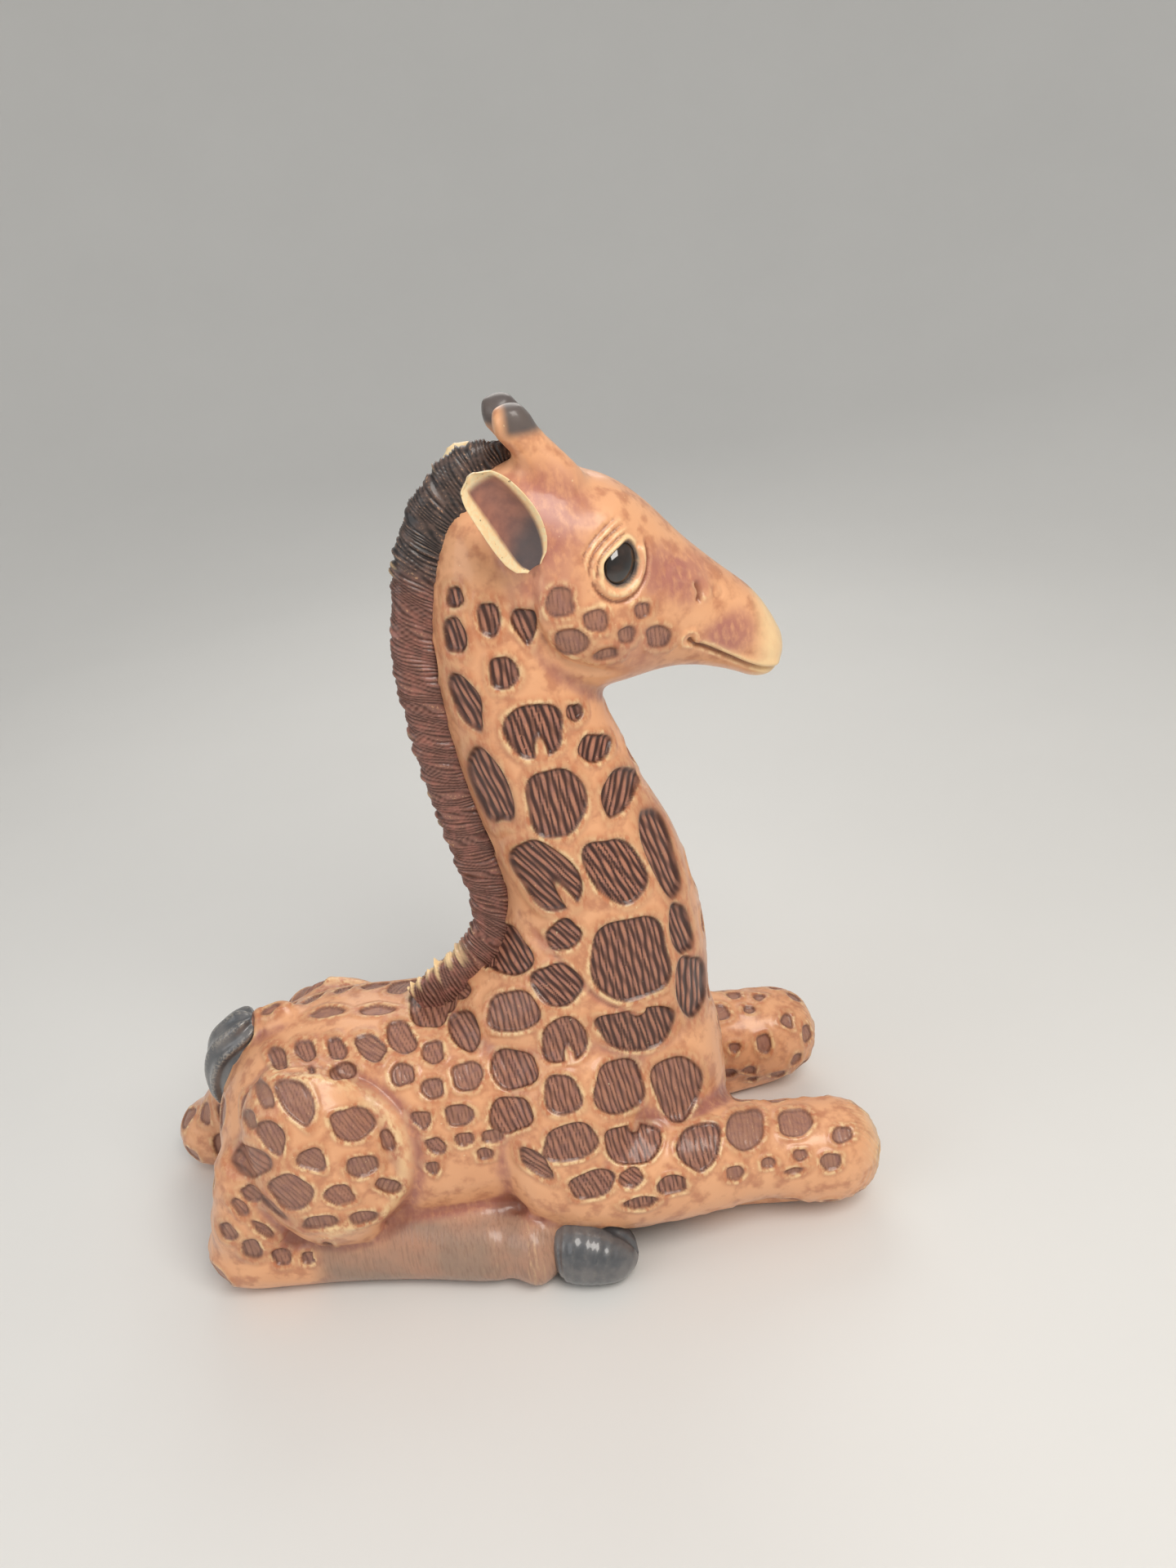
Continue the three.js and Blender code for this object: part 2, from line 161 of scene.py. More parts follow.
class Coating:
    """One finish: a Principled surface whose colour, roughness and bump come from nodes."""

    def __init__(self, name, **plain):
        self.material = bpy.data.materials.new(name)
        self.material.use_nodes = True
        self.tree = self.material.node_tree
        self.surface = self.tree.nodes["Principled BSDF"]
        for socket, value in plain.items():
            self.surface.inputs[socket.replace("_", " ")].default_value = value
        self.place = self.node("ShaderNodeTexCoord", out="Object")

    def node(self, kind, settings=None, inputs=None, out=0):
        """A node of a kind: its settings first, then its sockets' values or links."""
        made = self.tree.nodes.new(kind)
        for key, value in (settings or {}).items():
            setattr(made, key, value)
        for key, value in (inputs or {}).items():
            if isinstance(value, Value):
                self.tree.links.new(value.socket, made.inputs[key])
            else:
                made.inputs[key].default_value = value
        return Value(self, made.outputs[out])

    def math(self, operation, *terms):
        """One step of a sum over numbers and Values."""
        return self.node("ShaderNodeMath", {"operation": operation}, dict(enumerate(terms)))

    def mix(self, factor, under, over):
        """The colour over laid on the colour under by factor."""
        return self.node("ShaderNodeMix", {"data_type": "RGBA"}, {0: factor, 6: under, 7: over}, out=2)

    def noise(self, per_mm, detail=3.0, stretch=(1, 1, 1)):
        """Noise with per_mm blots to a millimetre, drawn out where stretch is below 1."""
        spot = self.node("ShaderNodeMapping", None, {"Vector": self.place, "Scale": stretch})
        sockets = {"Vector": spot, "Scale": per_mm / MM, "Detail": detail, "Roughness": 0.55}
        return self.node("ShaderNodeTexNoise", None, sockets)

    def mark(self, name):
        """A number that the modelling left on every point."""
        return self.node("ShaderNodeAttribute", {"attribute_name": name}, out="Fac")

    def finish(self, base, roughness, height, strength=0.5, distance=0.1):
        """Links the colour, the roughness and a bump of height distance in millimetres."""
        bump = {"Height": height, "Strength": strength, "Distance": distance * MM}
        normal = self.node("ShaderNodeBump", None, bump)
        for socket, value in {"Base Color": base, "Roughness": roughness, "Normal": normal}.items():
            self.tree.links.new(value.socket, self.surface.inputs[socket])
        return self.material


# ---- Table ---------------------------------------------------------------------------------------
# The table top is a round sheet of matt pale card. It turns up into a plain wall all round, with a wide
# round corner between them. It is part of the studio and not of the figure.
WALL_AT, WALL_TOP, CORNER = 420, 1000, 500
TABLE_SIDES, CORNER_STEPS = 96, 16


def table_finish():
    """Matt pale card with faint broad blots."""
    paint = Coating("table_top")
    blots = paint.noise(0.01)
    base = paint.mix(blots, colour(226, 225, 222), colour(232, 231, 228))
    return paint.finish(base, blots * 0.1 + 0.45, blots, 0.05)


corner = np.linspace(0, np.pi / 2, CORNER_STEPS)
reach = np.array([*(WALL_AT + CORNER * np.sin(corner)), WALL_AT + CORNER])
rise = np.array([*(CORNER * (1 - np.cos(corner))), WALL_TOP])
around = np.arange(TABLE_SIDES) / TABLE_SIDES * 2 * np.pi
compass = (np.cos(around), np.sin(around))
sheet = np.stack([*(np.outer(reach, way) for way in compass), np.outer(rise, np.ones(TABLE_SIDES))], -1)
ring, spoke = np.meshgrid(np.arange(len(reach) - 1) * TABLE_SIDES, np.arange(TABLE_SIDES), indexing="ij")
beside = (spoke + 1) % TABLE_SIDES
strip = np.stack([ring + spoke, ring + spoke + TABLE_SIDES, ring + beside + TABLE_SIDES, ring + beside], -1)
table_data = bpy.data.meshes.new("table")
disc = [list(range(TABLE_SIDES))]
table_data.from_pydata(place(sheet.reshape(-1, 3)), [], disc + strip.reshape(-1, 4).tolist())
table_data.polygons.foreach_set("use_smooth", np.ones(len(table_data.polygons), bool))
table_data.materials.append(table_finish())
show("table", table_data)

bpy.context.scene.view_settings.view_transform = "Standard"


# ---- Castings ------------------------------------------------------------------------------------
# Torso, neck, head, horns, tail and legs are taken to be resin castings, glued and filled so that one
# skin runs over them. Each is an oval section carried along the limb or the body.
def between(rows, steps):
    """Catmull-Rom curve through equally long rows: each stretch is the cubic that passes its ends with
    half the run from the row before to the row after as its slope."""
    rows = np.asarray(rows, float)
    t = np.linspace(0, len(rows) - 1, (len(rows) - 1) * steps + 1)
    i = np.minimum(t.astype(int), len(rows) - 2)
    f = (t - i)[:, None]
    a, b, c, d = (rows[np.clip(i + k, 0, len(rows) - 1)] for k in (-1, 0, 1, 2))
    slope1, slope2, rise = (c - a) / 2, (d - b) / 2, c - b
    return b + f * slope1 + f**2 * (3 * rise - 2 * slope1 - slope2) + f**3 * (slope1 + slope2 - 2 * rise)


def ring_faces(count, sides):
    """Quads between count rings of sides points, and a fan at each end onto one of the two points that
    come after the rings."""
    i, j = np.meshgrid(np.arange(count - 1), np.arange(sides), indexing="ij")
    k = (j + 1) % sides
    quads = np.stack([i * sides + j, i * sides + k, (i + 1) * sides + k, (i + 1) * sides + j], -1)
    here = np.arange(sides)
    beside = (here + 1) % sides
    end, last = count * sides, (count - 1) * sides
    first_fan = np.stack([np.full(sides, end), beside, here], -1)
    last_fan = np.stack([np.full(sides, end + 1), last + here, last + beside], -1)
    return quads.reshape(-1, 4).tolist() + first_fan.tolist() + last_fan.tolist()


def oval_skin(rings, square=2.2, keel=0.0, sides=48, steps=5):
    """Points and faces of a closed skin over rings of [centre, side half-vector, up half-vector]. At
    angle v a ring's point is centre + side cos v * f + up sin v * f, with f the superellipse's radius,
    and keel narrows its lower half. Each end closes on one point."""
    ring = between(rings, steps)
    centre, side, up = (ring[:, None, k : k + 3] for k in (0, 3, 6))
    v = np.arange(sides) / sides * 2 * np.pi
    c, s = np.cos(v)[None, :, None], np.sin(v)[None, :, None]
    full = (np.abs(c) ** square + np.abs(s) ** square) ** (-1 / square)
    narrow = 1 - keel * np.maximum(0, -s * full) ** 1.5
    points = (centre + side * c * full * narrow + up * s * full).reshape(-1, 3)
    return np.vstack([points, ring[0, :3], ring[-1, :3]]), ring_faces(len(ring), sides)


def side_rings(rows):
    """Rings from rows of [top x, top z, bottom x, bottom z, half width] seen from the side."""
    tx, tz, bx, bz, half = np.asarray(rows, float).T
    zero = np.zeros_like(tx)
    return np.stack(
        [(tx + bx) / 2, zero, (tz + bz) / 2, zero, half, zero, (tx - bx) / 2, zero, (tz - bz) / 2], -1
    )


def limb_rings(rows):
    """Rings from rows of [x, y, z, radius across, radius up] along a limb. Across is the frame's y
    made square to the limb, and up is square to both."""
    rows = np.asarray(rows, float)
    at = rows[:, :3]
    along = at[np.minimum(np.arange(len(at)) + 1, len(at) - 1)] - at[np.maximum(np.arange(len(at)) - 1, 0)]
    along /= np.linalg.norm(along, axis=1, keepdims=True)
    out = np.array([0, 1, 0]) - along * along[:, 1:2]
    out /= np.linalg.norm(out, axis=1, keepdims=True)
    return np.hstack([at, out * rows[:, 3:4], np.cross(out, along) * rows[:, 4:5]])


def on_side(rows, side, shift=0.0, drop=0.0, out=(0, 0, 60, 0)):
    """A limb's rows on one side of the figure. shift moves it along, drop lowers it, and out is
    (x, amount, x, amount) to move it outwards."""
    rows = np.array(rows, float)
    x0, out0, x1, out1 = out
    rows[:, 1] = side * (rows[:, 1] + out0 + (rows[:, 0] - x0) * (out1 - out0) / (x1 - x0))
    rows[:, 0] += shift
    rows[:, 2] -= drop
    return rows


POLL = np.array([15.0, 0.0, 0.0])
HEAD_YAW = 0.12


def upright_turn(angle):
    """The matrix that turns rows of points about an upright axis."""
    c, s = np.cos(angle), np.sin(angle)
    return np.array([[c, s, 0], [-s, c, 0], [0, 0, 1]])


def turned(points, angle=HEAD_YAW):
    """Points turned about the upright axis through the poll, as the head is."""
    return (np.asarray(points) - POLL) @ upright_turn(angle) + POLL


def turned_rings(rings):
    """Rings turned as the head is."""
    spin = upright_turn(HEAD_YAW)
    return np.hstack([turned(rings[:, :3]), rings[:, 3:6] @ spin, rings[:, 6:] @ spin])


TORSO = [
    (-56, 28, -55, 14, 3),
    (-54.5, 36, -53, 6, 12),
    (-50, 43, -49, 0, 17),
    (-42, 48.5, -42, -2, 20),
    (-30, 51, -30, -2.5, 21.5),
    (-16, 50, -16, -2.5, 22),
    (-2, 50, -2, -2.5, 22),
    (14, 51, 14, -2.5, 21),
    (28, 50.4, 28, -2, 19.4),
    (38, 48.2, 38, -1, 15.6),
    (43.2, 41, 42.6, 5, 9.5),
    (44.4, 31, 43.8, 14, 2.8),
]
NECK = [
    (13.5, 146, 20, 136, 3),
    (8, 142.5, 23, 129, 8.2),
    (4, 134, 25.5, 120.5, 9.4),
    (2, 124, 28, 112, 10.2),
    (1.7, 114, 30, 105, 10.8),
    (2.4, 103.5, 32.4, 98, 11.5),
    (4, 93, 35.2, 89.5, 12.5),
    (6, 82, 39.2, 80, 13.8),
    (7, 71, 41.8, 70, 15),
    (2.5, 60, 43, 59, 17),
    (-7, 50, 42.8, 48, 18),
    (-3, 41, 42, 37, 16),
    (8, 32, 34, 30, 8),
]
HEAD = [
    (12.5, 145, 14.5, 129, 3.5),
    (15, 149.4, 17.6, 117, 10.6),
    (21, 150.6, 22.6, 111.6, 13),
    (28, 147.8, 28.5, 110.2, 13.6),
    (34.4, 145.2, 33, 110.3, 12.8),
    (40, 140.6, 38, 110.8, 11.2),
    (46, 133.4, 42.4, 110.8, 9.4),
    (51.8, 127.4, 47.2, 109.8, 8.1),
    (58.1, 121.2, 52.4, 107.8, 7.3),
    (61.9, 114.2, 57, 105.6, 6),
    (62.4, 110.4, 60.6, 106.4, 2.6),
]
HORN = [
    (26.5, 4.8, 143.5, 1.5, 1.5),
    (25.8, 5.0, 145.5, 4.2, 4.4),
    (24, 5.2, 149.5, 3.4, 3.7),
    (21.6, 5.2, 153.4, 2.9, 3),
    (20, 5.2, 156, 3.2, 3.2),
    (18.9, 5.2, 158.4, 2.9, 2.9),
    (18.3, 5.2, 159.7, 1.3, 1.3),
]
SHOULDER = [
    (17, 13, 47, 3, 3),
    (15.5, 14.5, 43, 6.5, 9),
    (13.5, 16.5, 34, 8.5, 12.5),
    (10.5, 17.5, 25, 9.5, 12.5),
    (9, 18, 16, 9, 9),
    (9.5, 18, 10, 3, 3),
]
FOREARM = [
    (2, 17.5, 18, 2.5, 2.5),
    (5, 17.8, 18, 7.5, 8),
    (13, 18, 17.8, 9.8, 10.6),
    (25, 18, 17.4, 10.6, 11.4),
    (38, 17.2, 16.4, 10, 10.6),
    (49, 16.6, 14.6, 8.8, 9),
    (57, 16.4, 12.6, 9.4, 9.8),
    (64, 16.2, 11.6, 9.2, 9.6),
    (69, 16.2, 11.2, 6.4, 7),
    (71.4, 16.2, 11, 1.8, 2),
]
FORE_CANNON = [
    (66, 15.6, 5.6, 2, 2),
    (63, 15.6, 5.4, 4.8, 4.6),
    (54, 15, 4.8, 5, 4.6),
    (44, 14, 4.8, 4.7, 4.4),
    (35, 13.2, 4.8, 5, 4.6),
    (31.5, 13, 4.8, 3.6, 3.4),
]
THIGH = [
    (-38.5, 12.5, 50, 2, 3),
    (-38, 13.5, 46.5, 6.5, 8.5),
    (-36, 15.5, 40, 8.6, 12.5),
    (-33.8, 17, 31, 9.6, 14),
    (-33, 17.6, 22.5, 9, 12.6),
    (-33.4, 17.4, 15, 6, 8.6),
    (-33.6, 17, 12, 1.8, 3),
]
SHANK_RIGHT = [
    (-44, 13, 33, 2, 3),
    (-46, 13.2, 29, 7, 9),
    (-49.5, 13.4, 20, 7.8, 8.6),
    (-52, 13.2, 12.5, 7.4, 8.2),
    (-53, 13, 7.5, 5, 5),
]
SHANK_LEFT = [
    (-46, 15.5, 31, 2, 3),
    (-50, 17.6, 27, 6.4, 7),
    (-57, 21, 20, 6.4, 6),
    (-63.4, 23.4, 13, 6.2, 5.6),
    (-66.6, 24.4, 9, 4, 4),
]
HIND_CANNON = [
    (-62, 12.6, 8.4, 1.6, 1.8),
    (-60, 12.6, 8.4, 5.2, 5.4),
    (-55, 12.6, 8, 7.6, 7.8),
    (-46, 13.4, 7.2, 7.6, 7.4),
    (-34, 14.6, 7.2, 7.6, 7.6),
    (-20, 17, 7.4, 7.8, 7.8),
    (-8, 20, 7.2, 7.8, 7.6),
    (-1, 22, 6.8, 7, 6.8),
    (5, 24, 6.4, 6, 6),
    (7, 24.4, 6.2, 4, 4),
]
TAIL = [
    (-37, 3.4, 50.6, 1.2, 1),
    (-39.5, 3.8, 50.4, 2.3, 2.2),
    (-43, 4.6, 49.2, 2.4, 2.4),
    (-46, 5.2, 47.6, 2.4, 2.4),
    (-48, 5.6, 46, 1.6, 1.6),
]
# How the legs lie on each side: those on the left are shifted, lower or further out.
LIE_HIND = {RIGHT: {}, LEFT: {"shift": -12, "out": (-60, 12, 20, 3)}}
LIE_THIGH = {RIGHT: {}, LEFT: {"shift": 3, "drop": 3}}
LIE_FORE = {RIGHT: {}, LEFT: {"shift": -3, "out": (0, 1, 60, 5)}}
SIDE_WORD = {RIGHT: "right", LEFT: "left"}

castings = {
    "torso": (side_rings(TORSO), 2.5, 0.5),
    "neck": (side_rings(NECK), 2.1, 0.0),
    "head": (turned_rings(side_rings(HEAD)), 2.2, 0.0),
    "tail": (limb_rings(TAIL), 2.2, 0.0),
}
for side, word in SIDE_WORD.items():
    limbs = {
        "horn": turned_rings(limb_rings(on_side(HORN, side))),
        "shoulder": limb_rings(on_side(SHOULDER, side)),
        "forearm": limb_rings(on_side(FOREARM, side, **LIE_FORE[side])),
        "fore_cannon": limb_rings(on_side(FORE_CANNON, side, **LIE_FORE[side])),
        "thigh": limb_rings(on_side(THIGH, side, **LIE_THIGH[side])),
        "hind_shank": limb_rings(on_side(SHANK_RIGHT if side == RIGHT else SHANK_LEFT, side)),
        "hind_cannon": limb_rings(on_side(HIND_CANNON, side, **LIE_HIND[side])),
    }
    castings.update({f"{name}_{word}": (rings, 2.2, 0.0) for name, rings in limbs.items()})


# ---- One skin over the castings ------------------------------------------------------------------
# The filled joints and the poured shapes are smooth, so the castings are fused in clay, evened, and
# subdivided to a third of a millimetre, which is fine enough for the tool marks.
SKIN_VOXEL = 1.37
SKIN_RELAXING, SHARE_RELAXING, HOLLOW_RELAXING = 5, 3, 14
SUBDIVISIONS = 2


def gathered(index, values, size):
    """The sum of values' rows that share an index."""
    return np.stack([np.bincount(index, column, size) for column in values.T], -1)


def edges_of(quads):
    """Every edge once, as its two points, and the edge number at each quad's corners."""
    ends = np.sort(np.stack([quads, np.roll(quads, -1, 1)], -1).reshape(-1, 2), 1)
    key = ends[:, 0].astype(np.int64) * (quads.max() + 1) + ends[:, 1]
    _, first, edge = np.unique(key, return_index=True, return_inverse=True)
    return ends[first], edge.reshape(-1, 4)


def evened(values, edges, rounds, keep=0.94):
    """Each round moves every point half way to its neighbours' mean, then keep times as far back, which
    evens the surface and leaves its volume."""
    ends, others = edges.T.reshape(-1), edges[:, ::-1].T.reshape(-1)
    count = np.bincount(ends, minlength=len(values))[:, None]
    for part in [0.5, -0.5 * keep] * rounds if keep else [0.5] * rounds:
        values = values + part * (gathered(ends, values[others], len(values)) / count - values)
    return values


def subdivided(values, quads):
    """One Catmull-Clark step on a closed quad mesh, for all columns of values. A face's point is its
    corners' mean; an edge's is the mean of its middle and its faces' points; a point of n edges moves to
    (its faces' mean + 2 * its edges' mean + (n - 3) * itself) / n."""
    size, (ends, edge) = len(values), edges_of(quads)
    centre, middle = values[quads].mean(1), values[ends].mean(1)
    spread = np.repeat(centre, 4, 0)
    beside = gathered(edge.ravel(), spread, len(ends)) / np.bincount(edge.ravel())[:, None]
    count = np.bincount(quads.ravel())[:, None]
    around = gathered(quads.ravel(), spread, size) / count
    along = gathered(ends.ravel(), np.repeat(middle, 2, 0), size) / np.bincount(ends.ravel())[:, None]
    points = np.vstack([(around + 2 * along + (count - 3) * values) / count, (middle + beside) / 2, centre])
    edge = edge + size
    face = np.repeat(size + len(ends) + np.arange(len(quads))[:, None], 4, 1)
    return points, np.stack([quads, edge, face, np.roll(edge, 1, 1)], -1).reshape(-1, 4)


def normals_of(points, quads):
    """Each point's unit normal, the sum of its faces' diagonals' cross products."""
    a, b, c, d = points[quads].swapaxes(0, 1)
    total = gathered(quads.ravel(), np.repeat(np.cross(c - a, d - b), 4, 0), len(points))
    return total / np.maximum(np.linalg.norm(total, axis=1, keepdims=True), 1e-12)


def linked(cells, size):
    """For each of size points, the lowest number among the points that cells link it to."""
    group = np.arange(size)
    while True:
        lower = group.copy()
        np.minimum.at(lower, cells.ravel(), np.repeat(group[cells].min(1), cells.shape[1]))
        lower = lower[lower]
        if (lower == group).all():
            return group
        group = lower


def fused(skins, voxel):
    """One even, closed quad mesh over the union of closed skins: a voxel remesh and its largest body."""
    points, faces, start = [], [], 0
    for skin_points, skin_faces in skins:
        points.append(skin_points)
        faces += [[i + start for i in face] for face in skin_faces]
        start += len(skin_points)
    data = bpy.data.meshes.new("clay")
    data.from_pydata(np.vstack(points), [], faces)
    clay = show("clay", data)
    clay.modifiers.new("clay", "REMESH").voxel_size = voxel
    made = bpy.data.meshes.new_from_object(clay.evaluated_get(bpy.context.evaluated_depsgraph_get()))
    points, corners = np.empty(len(made.vertices) * 3), np.empty(len(made.loops), np.int32)
    made.vertices.foreach_get("co", points)
    made.loops.foreach_get("vertex_index", corners)
    for data in (clay.data, made):
        bpy.data.meshes.remove(data)
    points, quads = points.reshape(-1, 3), corners.reshape(-1, 4)
    body = linked(quads, len(points))[quads[:, 0]]
    used, quads = np.unique(quads[body == np.bincount(body).argmax()], return_inverse=True)
    return points[used], quads.reshape(-1, 4)


names = list(castings)
skins = [oval_skin(rings, square, keel) for rings, square, keel in castings.values()]
clay_points, clay_quads = fused(skins, SKIN_VOXEL)
clay_edges, _ = edges_of(clay_quads)
clay_points = evened(clay_points, clay_edges, SKIN_RELAXING)
clay_normals = normals_of(clay_points, clay_quads)
hollow = ((evened(clay_points, clay_edges, HOLLOW_RELAXING, keep=0) - clay_points) * clay_normals).sum(1)

tree = KDTree(sum(len(points) for points, _ in skins))
owner = np.repeat(np.arange(len(skins)), [len(points) for points, _ in skins])
for i, point in enumerate(np.vstack([points for points, _ in skins])):
    tree.insert(point, i)
tree.balance()
nearest = owner[[tree.find(point)[1] for point in clay_points]]
share = evened(np.eye(len(skins))[nearest], clay_edges, SHARE_RELAXING, keep=0)
clay_tree = BVHTree.FromPolygons(clay_points.tolist(), clay_quads.tolist())

values, quads = np.hstack([clay_points, hollow[:, None], share]), clay_quads
for _ in range(SUBDIVISIONS):
    values, quads = subdivided(values, quads)
points, hollow, share = values[:, :3], values[:, 3], values[:, 4:]
normals = normals_of(points, quads)
edges, _ = edges_of(quads)
head_points = turned(points, -HEAD_YAW)
on_head = share[:, [names.index(n) for n in ("head", "horn_right", "horn_left")]].sum(1)


def share_of(*words):
    """How much each point belongs to the castings whose names start with one of words."""
    return share[:, [i for i, name in enumerate(names) if name.startswith(words)]].sum(1)


# ---- Coat patches --------------------------------------------------------------------------------
# A giraffe's patches are cut into the clay as shallow pans with steep walls and raised lips, and each
# floor is combed with a wire. They are drawn on an upright sheet, at y = SIDE_SHEET on the right,
# and carried onto the skin along the line from the eye point, then mirrored for the left side.
SIDE_SHEET = -20.0
# x, z, width, height, lean towards the tail in degrees, form: oval, shield, drop, arch, saddle or lens
NECK_PATCHES = [
    (7.9, 135.7, 2.4, 3.3, 0, "oval"),
    (12.4, 131.5, 3.2, 5.6, -6, "oval"),
    (17.5, 129.6, 3.3, 5.6, 6, "drop"),
    (6.9, 129.8, 3.2, 6.0, 0, "oval"),
    (13.2, 122.6, 4.2, 5.6, 0, "oval"),
    (6.9, 118.9, 4.2, 10.6, 16, "lens"),
    (16.6, 112.2, 8.8, 9.7, 0, "arch"),
    (23.3, 114.3, 2.5, 3.0, 0, "oval"),
    (25.7, 107.7, 5.0, 5.0, -20, "oval"),
    (8.3, 103.7, 5.2, 14.6, 11, "oval"),
    (18.3, 98.9, 9.2, 13.0, 0, "oval"),
    (28.6, 99.0, 5.4, 9.3, -22, "drop"),
    (15.0, 85.6, 8.6, 15.6, 24, "arch"),
    (26.6, 84.5, 9.0, 13.5, 18, "oval"),
    (34.3, 86.8, 4.6, 18.0, 12, "oval"),
    (16.2, 73.4, 6.4, 5.6, 30, "oval"),
    (27.2, 65.8, 13.2, 17.8, 4, "shield"),
    (36.4, 71.0, 3.6, 11.0, 4, "oval"),
    (37.2, 58.8, 5.5, 12.8, -6, "oval"),
    (6.1, 72.2, 7.8, 10.9, 14, "oval"),
    (13.8, 63.4, 7.8, 9.6, 26, "oval"),
    (26.7, 52.4, 14.0, 9.0, 4, "saddle"),
]
SHOULDER_PATCHES = [
    (5.4, 59.2, 8.8, 9.3, 0, "oval"),
    (-8.9, 62.3, 6.2, 7.5, 0, "oval"),
    (-3.5, 56.5, 5.0, 9.9, 6, "drop"),
    (-3.4, 66.0, 4.2, 4.4, 20, "oval"),
    (3.7, 46.6, 8.2, 9.2, 0, "oval"),
    (13.5, 51.2, 8.3, 9.7, 0, "arch"),
    (11.6, 38.9, 6.5, 9.8, 0, "oval"),
    (22.1, 38.6, 9.2, 12.7, 0, "oval"),
    (32.7, 35.8, 8.4, 16.5, 0, "drop"),
    (1.6, 36.3, 7.6, 8.9, 0, "oval"),
    (11.6, 27.3, 10.3, 9.0, 0, "oval"),
    (23.3, 25.8, 10.3, 10.3, 0, "saddle"),
    (35.7, 20.8, 8.2, 12.4, 0, "drop"),
    (4.6, 23.8, 4.0, 10.0, 30, "lens"),
    (14.5, 16.2, 9.0, 6.6, 8, "oval"),
    (22.0, 16.2, 4.6, 4.8, 30, "oval"),
    (29.6, 12.7, 6.0, 4.5, 0, "oval"),
    (23.2, 9.4, 6.5, 3.4, 0, "lens"),
]
FORELEG_PATCHES = [
    (44.8, 23.5, 7.0, 10.5, 0, "oval"),
    (54.4, 23.2, 6.5, 7.0, 0, "oval"),
    (42.1, 13.0, 3.5, 3.5, 0, "oval"),
    (48.7, 14.2, 2.6, 2.8, 0, "oval"),
    (55.0, 14.8, 2.8, 3.0, 0, "oval"),
    (61.0, 11.8, 4.0, 4.4, 0, "oval"),
    (63.4, 18.2, 3.8, 4.4, 0, "oval"),
    (53.6, 11.0, 4.0, 1.6, 0, "lens"),
]
FLANK_PATCHES = [
    (-14.7, 57.6, 4.9, 7.2, 8, "oval"),
    (-20.3, 56.5, 4.6, 6.3, 30, "oval"),
    (-26.1, 57.4, 3.3, 4.8, 0, "oval"),
    (-31.5, 58.2, 3.4, 4.6, 0, "oval"),
    (-36.5, 57.5, 3.0, 4.9, 0, "oval"),
    (-9.8, 53.3, 4.0, 5.0, 0, "oval"),
    (-16.0, 49.5, 4.4, 5.0, 0, "oval"),
    (-26.1, 52.4, 4.9, 3.6, 10, "oval"),
    (-31.3, 54.0, 1.2, 2.2, 0, "oval"),
    (-4.7, 46.8, 5.6, 6.6, 0, "oval"),
    (-11.3, 45.3, 3.9, 5.0, 0, "oval"),
    (-7.6, 38.2, 4.9, 5.4, 0, "oval"),
    (-14.5, 38.4, 3.4, 4.6, 0, "drop"),
    (-13.0, 31.9, 3.4, 4.2, 20, "oval"),
    (-7.6, 32.4, 3.4, 3.2, 0, "oval"),
    (-2.5, 32.0, 4.0, 3.0, 0, "oval"),
    (-4.4, 28.1, 3.0, 2.8, 0, "oval"),
    (-14.5, 26.6, 2.6, 3.0, 0, "drop"),
]
RUMP_PATCHES = [
    (-40.6, 50.0, 2.7, 7.0, 0, "oval"),
    (-44.4, 45.1, 2.2, 4.6, 0, "oval"),
]
THIGH_PATCHES = [
    (-26.8, 40.2, 7.6, 8.0, 12, "oval"),
    (-35.4, 46.9, 5.8, 10.8, 6, "drop"),
    (-21.4, 35.2, 2.6, 5.0, 0, "oval"),
    (-27.1, 30.0, 6.2, 4.8, 0, "oval"),
    (-23.4, 24.4, 4.8, 3.2, -34, "oval"),
    (-32.6, 23.9, 5.1, 5.2, 16, "oval"),
    (-41.1, 26.6, 7.4, 8.6, 24, "oval"),
    (-35.6, 33.2, 4.6, 6.2, 30, "drop"),
    (-37.6, 18.1, 6.4, 3.2, 0, "oval"),
    (-29.4, 17.8, 5.2, 2.6, 0, "oval"),
    (-41.5, 40.0, 4.4, 8.4, 4, "drop"),
    (-47.0, 35.6, 5.0, 8.6, 14, "oval"),
    (-48.2, 27.8, 3.2, 4.6, 20, "oval"),
    (-45.6, 24.2, 1.8, 9.2, 22, "lens"),
    (-48.2, 18.6, 2.4, 5.4, 30, "lens"),
    (-51.4, 14.2, 3.4, 5.2, 0, "oval"),
    (-46.4, 11.0, 3.4, 4.6, 0, "oval"),
    (-37.3, 12.0, 1.8, 3.2, 0, "oval"),
    (-51.0, 25.0, 2.4, 4.6, 14, "oval"),
    (-54.6, 19.5, 2.8, 4.6, 10, "oval"),
    (-41.6, 9.6, 2.8, 3.0, 0, "oval"),
]
CHEEK_PATCHES = [
    (23.3, 132.6, 4.3, 4.4, 0, "oval"),
    (24.2, 126.3, 4.8, 4.4, 0, "oval"),
    (28.3, 129.1, 3.6, 3.4, 0, "oval"),
    (29.2, 123.5, 3.6, 2.0, 0, "oval"),
    (32.7, 126.0, 2.8, 2.6, 0, "oval"),
    (35.5, 129.4, 2.5, 2.4, 0, "oval"),
    (37.6, 124.8, 3.9, 3.5, 0, "oval"),
]
